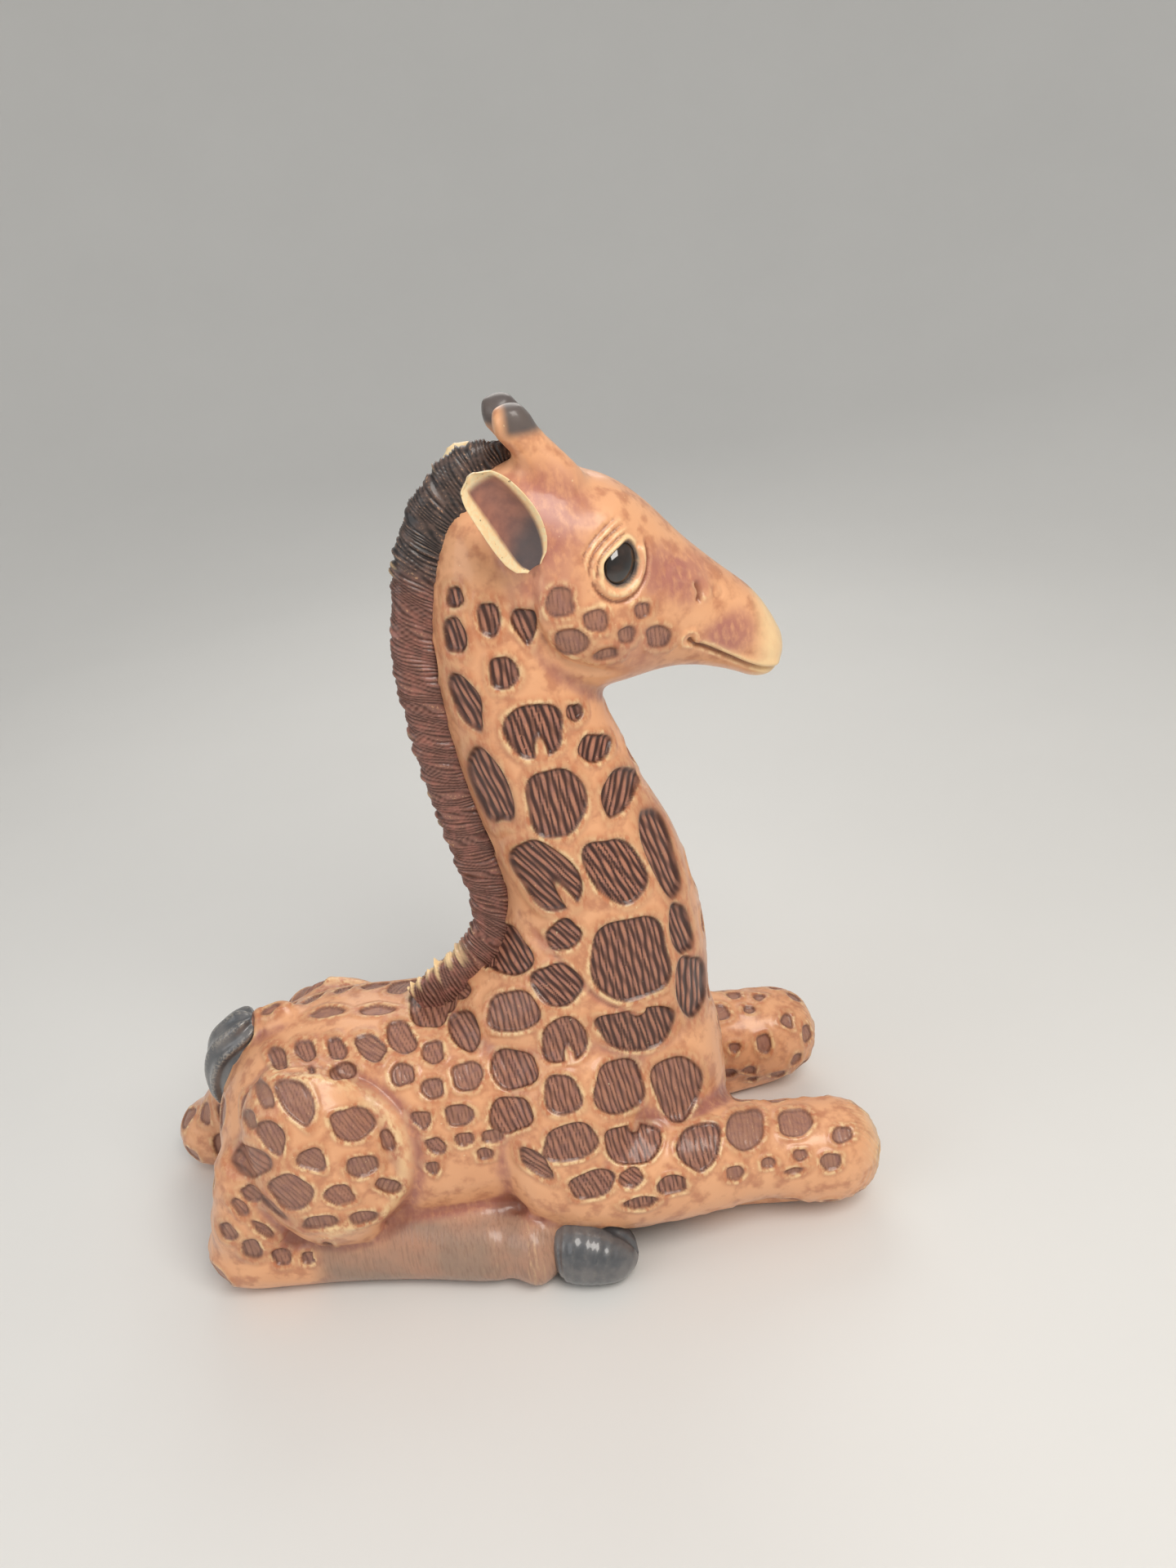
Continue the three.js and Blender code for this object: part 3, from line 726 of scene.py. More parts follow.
# Patches, how strongly their floors are combed, the comb's pitch, how deep they are, and how grey.
PATCH_GROUPS = [
    (NECK_PATCHES, 1.0, 0.98, 0.66, 0.1),
    (SHOULDER_PATCHES, 0.8, 0.92, 0.56, 0.35),
    (FORELEG_PATCHES, 0.5, 0.8, 0.42, 0.6),
    (FLANK_PATCHES, 0.66, 0.8, 0.5, 0.5),
    (RUMP_PATCHES, 0.4, 0.8, 0.42, 0.9),
    (THIGH_PATCHES, 0.6, 0.85, 0.5, 0.6),
    (CHEEK_PATCHES, 0.6, 0.62, 0.32, 0.5),
]
PATCH_REACH = 11.5
GRAZING = 0.42
LIP_OUT, LIP_WIDTH, LIP_HEIGHT = 0.62, 0.55, 0.2
WALL = 0.34
OUTSIDE = -9.0
LEFT_SIZES = (0.88, 1.06)
FULL_TURN = 6.3
rng = np.random.default_rng(29)
depth, lip, patch, comb, relief_comb, shade, wall = (np.zeros(len(points)) for _ in range(7))
edge_distance = np.full(len(points), OUTSIDE)
laid = []


def step(low, high, x):
    """Smooth rise from 0 at low to 1 at high."""
    t = np.clip((x - low) / (high - low), 0, 1)
    return t * t * (3 - 2 * t)


def ridge_at(distance, width, height):
    """A rounded ridge, or a groove where height is negative, along distance 0."""
    return height * np.exp(-((distance / width) ** 2))


def across(point, on_the_head):
    """A point mirrored in the head's own middle plane, or in the body's."""
    flipped = [1, -1, 1]
    return turned(turned(point, -HEAD_YAW) * flipped) if on_the_head else np.multiply(point, flipped)


def landed(eye, spot, axes):
    """Where the line from eye through a spot on the sheet meets the skin, its normal, and the tangents
    that one millimetre of the sheet's axes become there. Where the skin is seen nearly edge on, they are
    held to GRAZING. The last result is the sheet to draw from, or None at a grazing spot."""
    ray = spot - eye
    hit, normal, _, _ = clay_tree.ray_cast(Vector(eye), Vector(ray).normalized())
    if hit is None:
        return None
    hit, normal = np.array(hit), np.array(normal)
    slant = normal @ ray / np.linalg.norm(ray)
    sheet = (eye, spot, axes) if slant < -GRAZING else None
    if not sheet:
        normal = normal - (slant + GRAZING) * ray / np.linalg.norm(ray)
    reach = np.linalg.norm(hit - eye) / np.linalg.norm(ray)
    tangents = [reach * (axis - normal @ axis / (normal @ ray) * ray) for axis in axes]
    return hit, normal, np.stack(tangents, -1), sheet


def on_sheet(at, eye, spot, axes):
    """The sheet's x and z, from spot, where lines from eye to the points cross it."""
    upright = np.cross(*axes)
    lines = at - eye
    crossing = eye + lines * ((spot - eye) @ upright / (lines @ upright))[:, None]
    return axes @ (crossing - spot).T


def inside_form(form, u, v, a, b):
    """How far u, v is inside a form with half sizes a, b, in millimetres, with a seeded uneven edge."""
    p, q = u / a, v / b
    sharp = {"lens": 1.6, "drop": 2.1, "shield": 2.2 + 1.8 * step(-0.2, 0.7, q)}.get(form, 2.5)
    if form == "drop":
        p = p / (1 + 0.34 * np.clip(q, -1, 1))
    if form == "saddle":
        q = q + 0.35 * (1 - p * p)
    round_it = np.arctan2(q, p)
    waves = ((2, 0.05), (3, 0.045), (5, 0.03))
    uneven = sum(high * np.sin(n * round_it + rng.uniform(0, FULL_TURN)) for n, high in waves)
    inside = (1 - (np.abs(p) ** sharp + np.abs(q) ** sharp) ** (1 / sharp) / (1 + uneven)) * min(a, b)
    if form in ("arch", "saddle"):
        mouth = -1.05 if form == "arch" else 1.15
        notch = np.hypot((p - 0.12) / 0.24, (q - mouth) / (0.8 if form == "arch" else 0.5)) - 1
        inside = np.minimum(inside, notch * 0.24 * a)
    return inside


def cut_patch(centre, normal, tangents, sheet, size, lean, form, combed, pitch, deep, grey):
    """Marks one patch on the points near centre: its mask, depth, lip and comb."""
    radius = max(np.linalg.norm(tangents[:, k]) * size[k] for k in (0, 1)) / 2
    near = np.flatnonzero(((points - centre) ** 2).sum(1) < min(PATCH_REACH, 1.4 * radius + 1.5) ** 2)
    near = near[(normals[near] @ normal > 0.1) & (shin[near] < 0.4)]
    x, z = on_sheet(points[near], *sheet) if sheet else np.linalg.pinv(tangents) @ (points[near] - centre).T
    c, s = np.cos(np.radians(lean)), np.sin(np.radians(lean))
    u, v = x * c + z * s, z * c - x * s
    inside = inside_form(form, u, v, size[0] / 2, size[1] / 2)
    first, second = rng.uniform(0, FULL_TURN, 2)
    waver = 0.06 * np.sin(0.8 * v + first) + 0.14 * np.sin(1.9 * u + 0.32 * v + second)
    waver += rng.uniform(0.02, 0.2) * v
    ridge = (0.5 + 0.5 * np.cos(2 * np.pi * (u / pitch + waver))) ** 0.8
    ridge *= 0.72 + 0.28 * np.sin(1.1 * v + 2.6 * u + first)
    better = inside > edge_distance[near]
    near, inside, ridge = near[better], inside[better], ridge[better]
    edge_distance[near] = inside
    patch[near] = step(-0.12, 0.2, inside)
    depth[near] = deep * step(-0.08, WALL, inside)
    comb[near] = 1 - combed * (1 - ridge)
    relief_comb[near] = combed * ridge * step(0.1, 0.5, inside)
    lip[near] = ridge_at(inside + LIP_OUT, LIP_WIDTH, LIP_HEIGHT)
    # Dark on the steep wall inside the patch edge: the painted outline, and painted shade in the wall.
    wall[near] = ridge_at(inside - 0.14, 0.24, 1.0) * (1 - 0.55 * grey)
    shade[near] = np.clip(grey + rng.uniform(-0.15, 0.15), 0, 1)
    laid.append((centre, radius))


# The shins and cannons lie under the belly and carry no patches.
shin = share_of("hind_cannon", "hind_shank") * step(16.5, 14, points[:, 2]) * step(-43, -37, points[:, 0])

for side in (RIGHT, LEFT):
    for rows, combed, pitch, deep, grey in PATCH_GROUPS:
        for x, z, width, height, lean, form in rows if side == RIGHT or rows is not FORELEG_PATCHES else []:
            spot = np.array([x, SIDE_SHEET, z])
            guides = [EYE_POINT, spot, spot + [1, 0, 0], spot + [0, 0, 1]]
            if side == LEFT:
                guides = [across(point, rows is CHEEK_PATCHES) for point in guides]
            found = landed(guides[0], guides[1], np.array(guides[2:]) - guides[1])
            if found:
                scale = 1 if side == RIGHT else rng.uniform(*LEFT_SIZES)
                cut_patch(*found, (width * scale, height * scale), lean, form, combed, pitch, deep, grey)

# Further patches fill what the side sheet doesn't reach: chest, nape, back, rump and inner legs.
FILL_SIZES, FILL_GAP, FILL_LOW, FILL_TRIES = (4.0, 8.0), 1.3, 5.0, 4000
EDGE_ON = 0.12
to_eye = EYE_POINT - clay_points
unseen = (clay_normals * to_eye).sum(1) / np.linalg.norm(to_eye, axis=1) < EDGE_ON
plain = np.isin([names[i].split("_")[0] for i in nearest], ["head", "horn"])
shank = (clay_points[:, 2] < 17) & (clay_points[:, 0] > -44) & (clay_points[:, 0] < 8)
on_back = (clay_normals[:, 2] > 0.8) & (clay_points[:, 0] < 0) & (clay_points[:, 2] > 47)
fillable = unseen | on_back | (clay_points[:, 1] > 3)
open_skin = hollow[: len(clay_points)] < 0.25
candidates = np.flatnonzero(fillable & open_skin & ~plain & ~shank & (clay_points[:, 2] > FILL_LOW))
for i in rng.permutation(candidates)[:FILL_TRIES]:
    at = clay_points[i]
    reach = rng.uniform(*FILL_SIZES) / 2 * (0.6 if at[0] > 42 else 1)
    taken = np.array([centre for centre, _ in laid]), np.array([radius for _, radius in laid])
    if (np.linalg.norm(taken[0] - at, axis=1) < taken[1] + reach + FILL_GAP).any():
        continue
    upward = np.array([0.0, 0.0, 1.0]) if abs(clay_normals[i][2]) < 0.75 else np.array([-1.0, 0.0, 0.1])
    upward = upward - clay_normals[i] * (clay_normals[i] @ upward)
    upward = upward / np.linalg.norm(upward)
    tangents = np.stack([np.cross(upward, clay_normals[i]), upward], -1)
    size = reach * 2 * np.array([0.5 if on_back[i] else rng.uniform(0.75, 0.95), 1.0])
    form = "lens" if on_back[i] else rng.choice(["oval", "oval", "drop"])
    cut_patch(at, clay_normals[i], tangents, None, size, rng.uniform(-15, 25), form, 0.4, 1.0, 0.42, 0.6)


# ---- Face and folds ------------------------------------------------------------------------------
# Eyelids, mouth, nostrils, jaw and the skin folds of the legs are pressed into the clay by hand, alike
# on both cheeks. Their places are in the head's own side view.
EYE_AT = np.array([32.7, 134.0])
EYE_HALF = np.array([3.5, 2.95])
EYE_TILT, LID_TILT = np.radians(70), np.radians(28)
LID_CUT = 2.15
MOUTH = [
    (43.4, 118.2),
    (44.6, 116.6),
    (46.6, 115.4),
    (50.6, 112.6),
    (53.8, 110.3),
    (57.0, 108.6),
    (60.4, 107.6),
]
MOUTH_CORNER = (43.6, 117.9)
NOSTRIL = [(45.9, 126.8), (46.2, 125.6), (45.9, 124.4)]
NOSTRIL_CURL = (49.7, 124.6)
SNOUT_FOLD = [(42.6, 129.6), (44.6, 128.4), (46.4, 127.0), (47.2, 125.2)]
JAW = [(19.4, 136.5), (17.8, 131.0), (18.4, 124.6), (21.6, 119.4), (27.0, 116.2), (33.0, 114.4)]


def from_line(x, z, line):
    """The distance from x, z to a smooth line through points, and how far along it, 0 to 1."""
    line = between(line, 8)
    best, along = np.full(x.shape, 99.0), np.zeros(x.shape)
    for k, (start, stop) in enumerate(zip(line, line[1:])):
        run = stop - start
        t = np.clip(((x - start[0]) * run[0] + (z - start[1]) * run[1]) / (run @ run), 0, 1)
        far = np.hypot(x - start[0] - t * run[0], z - start[1] - t * run[1])
        along = np.where(far < best, (k + t) / (len(line) - 1), along)
        best = np.minimum(best, far)
    return best, along


relief = lip - depth + 0.2 * relief_comb
face = np.flatnonzero((on_head > 0.3) | (share_of("neck") > 0.3) & (points[:, 2] > 108))
fx, fy, fz = head_points[face].T
cheek = step(2.5, 5.5, np.abs(fy)) * step(0.2, 0.6, np.abs(turned(normals[face], -HEAD_YAW)[:, 1]))


def tilted(x, z, tilt):
    """x and z in axes turned up by tilt."""
    return x * np.cos(tilt) + z * np.sin(tilt), z * np.cos(tilt) - x * np.sin(tilt)


eye_long, eye_wide = tilted(fx - EYE_AT[0], fz - EYE_AT[1], EYE_TILT)
lid_along, lid_up = tilted(fx - EYE_AT[0], fz - EYE_AT[1], LID_TILT)
round_eye = (np.hypot(eye_long / EYE_HALF[0], eye_wide / EYE_HALF[1]) - 1) * EYE_HALF.mean()
opening = np.logaddexp(5 * round_eye, 5 * (lid_up - LID_CUT)) / 5
arc = np.logaddexp(1.2 * round_eye, 1.2 * (lid_up - LID_CUT)) / 1.2
above = step(-0.2, 1.2, lid_up) * step(5.6, 2.6, np.abs(lid_along + 0.6))
below = step(0.9, -0.5, lid_up + 0.1 * lid_along)
eye_relief = -1.25 * step(0.1, -0.6, opening) + ridge_at(opening - 0.5, 0.4, 0.4) * above
eye_relief += 0.65 * step(-0.1, 0.35, opening) * step(2.8, 0.7, opening) * above
for out, height in ((1.35, -0.4), (1.95, 0.22), (2.6, -0.34), (3.2, 0.18), (3.9, -0.26)):
    eye_relief += ridge_at(arc - out, 0.3, height) * above
eye_relief += ridge_at(opening - 1.0, 0.7, 0.75) * below + ridge_at(opening - 2.3, 0.42, -0.42) * below
mouth_far, mouth_along = from_line(fx, fz, MOUTH)
upper_lip = fz - np.interp(fx, *np.array(MOUTH).T)
mouth_relief = ridge_at(mouth_far, 0.42, -0.95) * step(0, 0.08, mouth_along)
mouth_relief += ridge_at(upper_lip - 1.1, 0.7, 0.34) * step(43, 46, fx)
corner_far = np.hypot(fx - MOUTH_CORNER[0], fz - MOUTH_CORNER[1])
mouth_relief += ridge_at(corner_far - 1.5, 0.5, 0.4) * step(-2.5, 1.5, upper_lip + 1.5)
nostril_far, _ = from_line(fx, fz, NOSTRIL)
snout_far, _ = from_line(fx, fz, SNOUT_FOLD)
curl = np.hypot(fx - NOSTRIL_CURL[0], fz - NOSTRIL_CURL[1])
nose_relief = ridge_at(nostril_far, 0.5, -0.75) + ridge_at(snout_far - 0.9, 0.7, 0.24)
nose_relief += ridge_at(curl - 1.0, 0.35, -0.16)
jaw_far, jaw_along = from_line(fx, fz, JAW)
jaw_relief = ridge_at(jaw_far, 1.0, -0.9) * step(1.0, 0.75, jaw_along) * step(0, 0.1, jaw_along)
cheek_bone = ridge_at(np.hypot(fx - 26, fz - 124), 6.5, 0.8)
brow = ridge_at(np.hypot(fx - 33.5, (fz - 141.2) * 1.4), 4.0, 0.5)
temple = ridge_at(np.hypot(fx - 40.5, fz - 131.5), 4.2, -0.6)
features = eye_relief + mouth_relief + nose_relief + jaw_relief + cheek_bone + brow + temple
relief[face] = np.where(opening < 0.8, 0, relief[face]) + features * cheek

seen = {name: np.zeros(len(points)) for name in ("eyelid", "mouth", "eye_pan_shade", "lip_edge")}
# The pan round the eye bead is painted slate, as painted shade behind the lids.
seen["eye_pan_shade"][face] = step(0.35, -0.1, opening) * cheek
lid_edge = ridge_at(opening - 0.5, 0.35, 1) * step(0.4, 1.2, lid_up) * step(5, 3, np.abs(lid_along))
seen["eyelid"][face] = lid_edge * cheek
# The mouth and nostril cuts are marked for rust, as painted shade in the cuts.
openings = ridge_at(mouth_far, 0.5, 1) * step(0, 0.08, mouth_along) + ridge_at(nostril_far, 0.45, 1)
seen["mouth"][face] = openings * cheek
seen["lip_edge"][face] = ridge_at(upper_lip - 0.9, 0.7, 1) * step(45, 48, fx) * cheek

# The thighs stand out from the flanks by a raised edge with a fold round it, and another fold parts the
# neck from the shoulder. Both are drawn on the side sheet.
THIGH_EDGE = [
    (-37, 52.5),
    (-31, 52),
    (-26, 49),
    (-22.5, 45),
    (-19.5, 38),
    (-19.5, 29.5),
    (-22.5, 21.5),
    (-28, 17),
    (-36, 15),
]
THIGH_FOLD = [
    (-35, 54.5),
    (-29, 53.5),
    (-23.5, 50.5),
    (-19.8, 46),
    (-16.6, 37.7),
    (-16.8, 28.3),
    (-19.6, 19.8),
    (-25, 14.6),
]
NECK_FOLD = [(11.3, 76.2), (13, 71.6), (16.4, 65.6), (20.2, 59.6), (25.6, 54.8), (32, 52.2)]
on_left = points[:, 1] > 0
flank_at = np.stack([points[:, 0], -np.abs(points[:, 1]), points[:, 2]], -1)
flank_at[on_left] += [-LIE_THIGH[LEFT]["shift"], 0, LIE_THIGH[LEFT]["drop"]]
sheet_axes = np.array([[1.0, 0, 0], [0, 0, 1.0]])
sheet_x, sheet_z = on_sheet(flank_at, EYE_POINT, np.array([0, SIDE_SHEET, 0]), sheet_axes)
outer_side = step(5, 9, np.abs(points[:, 1])) * step(0.0, 0.25, np.abs(normals[:, 1])) * (1 - shin)
hind = share_of("thigh", "torso", "hind") * outer_side * step(-8, -13, points[:, 0])
edge_far, _ = from_line(sheet_x, sheet_z, THIGH_EDGE)
fold_far, _ = from_line(sheet_x, sheet_z, THIGH_FOLD)
thigh_ridge = ridge_at(edge_far, 1.7, 1) * hind
thigh_fold = ridge_at(fold_far, 1.4, 1) * hind
neck_far, neck_along = from_line(sheet_x, sheet_z, NECK_FOLD)
neck_fold = ridge_at(neck_far, 0.8, 1) * outer_side * step(0, 0.15, neck_along) * step(1, 0.8, neck_along)
relief += 0.5 * thigh_ridge - 0.9 * thigh_fold - 0.45 * neck_fold * (1 - patch)

# Fine hair on the shins and the knee fronts, and the joint of the hind foot.
knee = share_of("forearm") * step(60, 66, points[:, 0])
hair_wave = np.sin(6.6 * points[:, 0] + 1.2 * np.sin(0.8 * points[:, 2]) + 0.6 * np.sin(2.3 * points[:, 0]))
knee_wave = np.sin(7.2 * points[:, 1] + 1.5 * np.sin(0.9 * points[:, 2]))
knee_wave *= step(0.1, 0.5, np.abs(normals[:, 0]))
relief += 0.03 * shin * hair_wave + 0.06 * knee * knee_wave
fetlock = ridge_at(points[:, 0] - 1.5, 2.6, 1.0) - ridge_at(points[:, 0] + 3.4, 1.8, 0.35)
relief += fetlock * share_of("hind_cannon")
relief *= step(1.0, 0.35, hollow)

carved = points + normals * relief[:, None]
carved[:, 2] = np.maximum(carved[:, 2], 0)
carved_normals = normals_of(carved, quads)
fine = ((evened(carved, edges, 5, keep=0) - carved) * carved_normals).sum(1)


# ---- Hide paint ----------------------------------------------------------------------------------
# Honey tan under a rust wash that also lays painted shade in the creases and cuts, rose on the face and
# as painted shade in the folds, dove grey on the shins, near-black horn ends, and cream dry-brushed over
# every raised edge as paint and as painted highlight.
LACQUER = {"Coat_Weight": 0.42, "Coat_Roughness": 0.16, "Specular_IOR_Level": 0.35}
HONEY, AMBER, RUST = colour(240, 180, 134), colour(194, 120, 82), colour(122, 66, 44)
CREAM, IVORY = colour(250, 216, 164), colour(250, 232, 186)
ROSE, MAUVE = colour(180, 116, 102), colour(140, 98, 92)
UMBER, SLATE, DOVE = colour(60, 30, 22), colour(72, 76, 80), colour(152, 128, 112)
# How strong each rose area of the cheeks is, its x and z in the head's side view, and its reach.
ROSE_AREAS = [
    (0.9, 39.5, 130.8, 6.0),
    (0.8, 44.5, 128.0, 6.0),
    (0.9, 22.5, 143.5, 9.5),
    (0.9, 52.0, 117.0, 5.5),
    (0.7, 48.5, 116.6, 4.5),
    (0.6, 20, 133, 8),
    (0.5, 34, 117.5, 7),
]


def near_head(x, z, reach):
    """A soft round area of the cheeks about x, z in the head's side view."""
    far = np.hypot(head_points[:, 0] - x, head_points[:, 2] - z)
    return step(1.0, 0.35, far / reach) * on_head


# Rust: the brown wash in small recesses outside the patches, and painted shade in the deep creases and in
# the mouth and nostril cuts.
washed_and_shaded = step(0.03, 0.14, fine) * (1 - patch) + 0.9 * seen["mouth"] + 0.75 * step(0.12, 0.7, hollow)
# Cream on the raised places, the thigh edge and the patch lips: dry-brush, and painted highlight on the
# ridges.
high_places = step(0.02, 0.12, -fine) + 0.7 * thigh_ridge + lip / LIP_HEIGHT * 0.35
face_rose = sum(strength * near_head(x, z, reach) for strength, x, z, reach in ROSE_AREAS)
# Rose as painted shade in the hollows and along the thigh and neck folds.
fold_shade = (step(0.05, 0.4, hollow) + 1.1 * thigh_fold + 0.8 * neck_fold) * (1 - on_head)
muzzle_tip = step(54, 58.5, head_points[:, 0] - 0.1 * (head_points[:, 2] - 110)) * on_head
knee_tip = step(66, 72, points[:, 0])
pale = 1.1 * seen["eyelid"] + 0.8 * seen["lip_edge"] + muzzle_tip + 0.55 * knee_tip
horn_front = np.where(on_left, 1, step(18.2, 20, points[:, 0]))
horn_ends = share_of("horn") * step(154.2, 156.2, points[:, 2]) * horn_front
marks = {
    "patch": patch,
    "comb": comb,
    "tone": shade,
    "between_patches_light": step(0.3, 2.0, -edge_distance),
    "wash_and_shade": np.clip(washed_and_shaded, 0, 1),
    "wall": wall,
    "drybrush_and_highlight": np.clip(high_places, 0, 1) * (1 - patch),
    "rose_and_fold_shade": np.clip(face_rose + fold_shade, 0, 1),
    "cream": np.clip(pale, 0, 1),
    "slate": np.clip(horn_ends + seen["eye_pan_shade"], 0, 1),
    "shin": shin,
}


def hide_finish():
    """Honey paint with everything that the marks ask for laid over it in turn, under lacquer."""
    paint = Coating("painted_hide", **LACQUER)
    patch, comb, tone, between_patches_light, wash_and_shade, wall, drybrush_and_highlight, rose_and_fold_shade, cream, slate, shin = map(paint.mark, marks)
    broad, brush, grain = paint.noise(0.12, 2.0), paint.noise(0.9, 4.0, (1, 1, 0.5)), paint.noise(3.2, 3.0)
    # Amber near the patch edges where the wash gathers, honey further from them as painted light on the
    # ridges between patches.
    base = paint.mix(between_patches_light * 0.75 + broad * 0.5 - 0.12, AMBER, HONEY)
    glaze = paint.noise(0.3, 3.0).clamped(0.45, 0.7)
    base = paint.mix(glaze * 0.6 * (1 - drybrush_and_highlight), base, colour(176, 104, 74))
    # Rose: paint on the face, and painted shade in the folds of the body.
    base = paint.mix(rose_and_fold_shade * (0.45 + 0.5 * brush.clamped(0.3, 0.6)), base, ROSE)
    hairs = paint.noise(2.4, 2.0, (1, 0.4, 0.1))
    grey_hair = paint.mix(broad.clamped(0.3, 0.7), DOVE, colour(176, 134, 112))
    grey_hair = paint.mix(hairs.clamped(0.48, 0.64) * 0.3, grey_hair, colour(112, 86, 74))
    base = paint.mix(shin * 0.92, base, grey_hair)
    # Rust in the recesses: brown wash, and painted shade in the creases and cuts.
    base = paint.mix(wash_and_shade * (0.55 + 0.4 * brush), base, RUST)
    # Cream over raised places: dry-brush and painted highlight.
    base = paint.mix(drybrush_and_highlight * brush.clamped(0.34, 0.6) * 0.85, base, CREAM)
    groove = paint.mix(tone, UMBER, colour(100, 64, 52))
    ridge = paint.mix(tone, colour(184, 124, 98), colour(158, 118, 98))
    ridge = paint.mix(brush.clamped(0.4, 0.7) * 0.6, ridge, MAUVE)
    floor = paint.mix(comb.clamped(0.12, 0.75), groove, ridge)
    # Cream flecks on the combed ridge tops: dry-brush and painted glints.
    floor = paint.mix(grain.clamped(0.52, 0.68) * comb.clamped(0.8, 1.0) * 0.4, floor, CREAM)
    base = paint.mix(patch, base, floor)
    # Umber on the patch walls: painted outline and painted shade.
    base = paint.mix(wall * (0.45 + 0.5 * brush), base, UMBER)
    base = paint.mix(cream * (0.6 + 0.5 * brush), base, CREAM)
    # Slate on the horn ends, and as painted shade in the eye pans.
    base = paint.mix(slate * 0.92, base, SLATE)
    # Small ivory flecks: chips in the paint and painted glints.
    speck = paint.noise(1.3, 1.0).clamped(0.79, 0.81)
    base = paint.mix(speck * 0.4, base, IVORY)
    roughness = 0.3 + 0.22 * brush + 0.12 * patch
    height = brush * 0.6 + grain * 0.4 + hairs * shin * 1.2
    return paint.finish(base, roughness, height, 0.35, 0.12)


# ---- Skin pieces ---------------------------------------------------------------------------------
# The skin is divided again where the castings meet. Each piece keeps its casting's share of it, and its
# open rim is turned inwards and closed, as the face that is glued to the next casting.
WALL_DEPTH, CAP_SINK = 2.0, 1.0


def closed_patch(faces, size):
    """The faces with every open rim turned inwards as a wall and then closed by a fan onto one point.
    Gives all faces, the rim points that the wall's inner points stand under, and for each fan's point
    the numbers of its rim among them."""
    directed = np.stack([faces, np.roll(faces, -1, 1)], -1).reshape(-1, 2).astype(np.int64)
    back = directed[:, 1] * size + directed[:, 0]
    rim = directed[~np.isin(directed[:, 0] * size + directed[:, 1], back)]
    group = linked(rim, size)
    outer, inner = np.unique(rim, return_inverse=True)
    inner = inner.reshape(-1, 2) + size
    walls = np.column_stack([rim[:, ::-1], inner])
    keys = group[rim[:, 0]]
    tops = size + len(outer) + np.searchsorted(np.unique(keys), keys)
    fans = np.column_stack([inner[:, ::-1], tops])
    rims = [np.flatnonzero(group[outer] == key) for key in np.unique(keys)]
    return faces.tolist() + walls.tolist() + fans.tolist(), outer, rims


def piece(name, node, material, at, faces, shading=None, extra=None):
    """A finished piece over points in drawing millimetres that replaces a node. shading holds the points'
    normals, and extra the marks that the material reads."""
    data = bpy.data.meshes.new(name)
    data.from_pydata(place(at), [], faces)
    data.polygons.foreach_set("use_smooth", np.ones(len(data.polygons), bool))
    for key, column in (extra or {}).items():
        data.attributes.new(key, "FLOAT", "POINT").data.foreach_set("value", column.astype(np.float32))
    if shading is not None:
        data.normals_split_custom_set_from_vertices(shading)
    data.materials.append(material)
    made = show(name, data)
    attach(made, "root")
    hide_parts(node)


hide = hide_finish()
face_owner = share[quads].sum(1).argmax(1)
for i, node in enumerate(names):
    used, faces = np.unique(quads[face_owner == i], return_inverse=True)
    faces, outer, rims = closed_patch(faces.reshape(-1, 4), len(used))
    edge_of_it = used[outer]
    inner = carved[edge_of_it] - WALL_DEPTH * carved_normals[edge_of_it]
    tops = [(inner[rim] - CAP_SINK * carved_normals[edge_of_it[rim]]).mean(0) for rim in rims]
    top_ways = [-carved_normals[edge_of_it[rim]].mean(0) for rim in rims]
    at = np.vstack([carved[used], inner, *tops])
    shading = np.vstack([carved_normals[used], -carved_normals[edge_of_it], *top_ways])
    unpainted = np.zeros(len(outer) + len(rims))
    extra = {key: np.append(column[used], unpainted) for key, column in marks.items()}
    slot = "horn" if node.startswith("horn") else "hide"
    piece(f"{node}_skin", node, hide, at, faces, shading, extra)


# ---- Mane ----------------------------------------------------------------------------------------
# The mane is a crest casting glued along the nape from the poll to the withers. Its hair is combed
# across it in strands, near black at the top, brown below, with pale tufts at the withers.
MANE = [
    (19, 153.2, 20, 151, 0.8),
    (14, 154.2, 18, 147.5, 2),
    (7.6, 151.4, 15, 142.5, 2.6),
    (1.8, 145.2, 11, 137.5, 2.9),
    (-1.8, 137.6, 8, 132, 3.0),
    (-3.6, 129.5, 5.8, 126, 3.0),
    (-5.4, 120.5, 4.6, 118.5, 3.0),
    (-5.1, 111, 4.4, 110, 2.9),
    (-4.4, 101, 5, 101, 2.8),
    (-3, 91, 6.4, 92, 2.7),
    (-1.7, 82, 7.8, 83, 2.6),
    (-0.2, 74, 9, 73, 2.6),
    (-0.2, 67, 8, 61.5, 2.5),
    (-3.8, 61.8, 3, 53.5, 2.2),
    (-9.6, 58.2, -4.5, 49, 1.9),
    (-14.8, 54, -11.5, 47, 1),
]
STRAND = 0.74
MANE_SIDES, MANE_STEPS = 44, 58


def along_and_round(count, sides):
    """For the points of an oval skin: each one's place along it, 0 to 1, and its angle round it."""
    along = np.repeat(np.linspace(0, 1, count), sides)
    round_it = np.tile(np.arange(sides) / sides * 2 * np.pi, count)
    return np.append(along, [0, 1]), np.append(round_it, [0, 0])


def skin_normals(at, faces):
    """Normals of an oval skin, whose faces are quads and end triangles."""
    corners = np.array([face if len(face) == 4 else [*face, face[0]] for face in faces])
    return normals_of(at, corners)


def outward(at, faces):
    """The faces, turned over if the closed mesh's volume comes out negative."""
    halves = [face[:3] for face in faces] + [[face[0], *face[-2:]] for face in faces if len(face) == 4]
    a, b, c = at[np.array(halves)].swapaxes(0, 1)
    return faces if (np.cross(a, b) * c).sum() > 0 else [face[::-1] for face in faces]


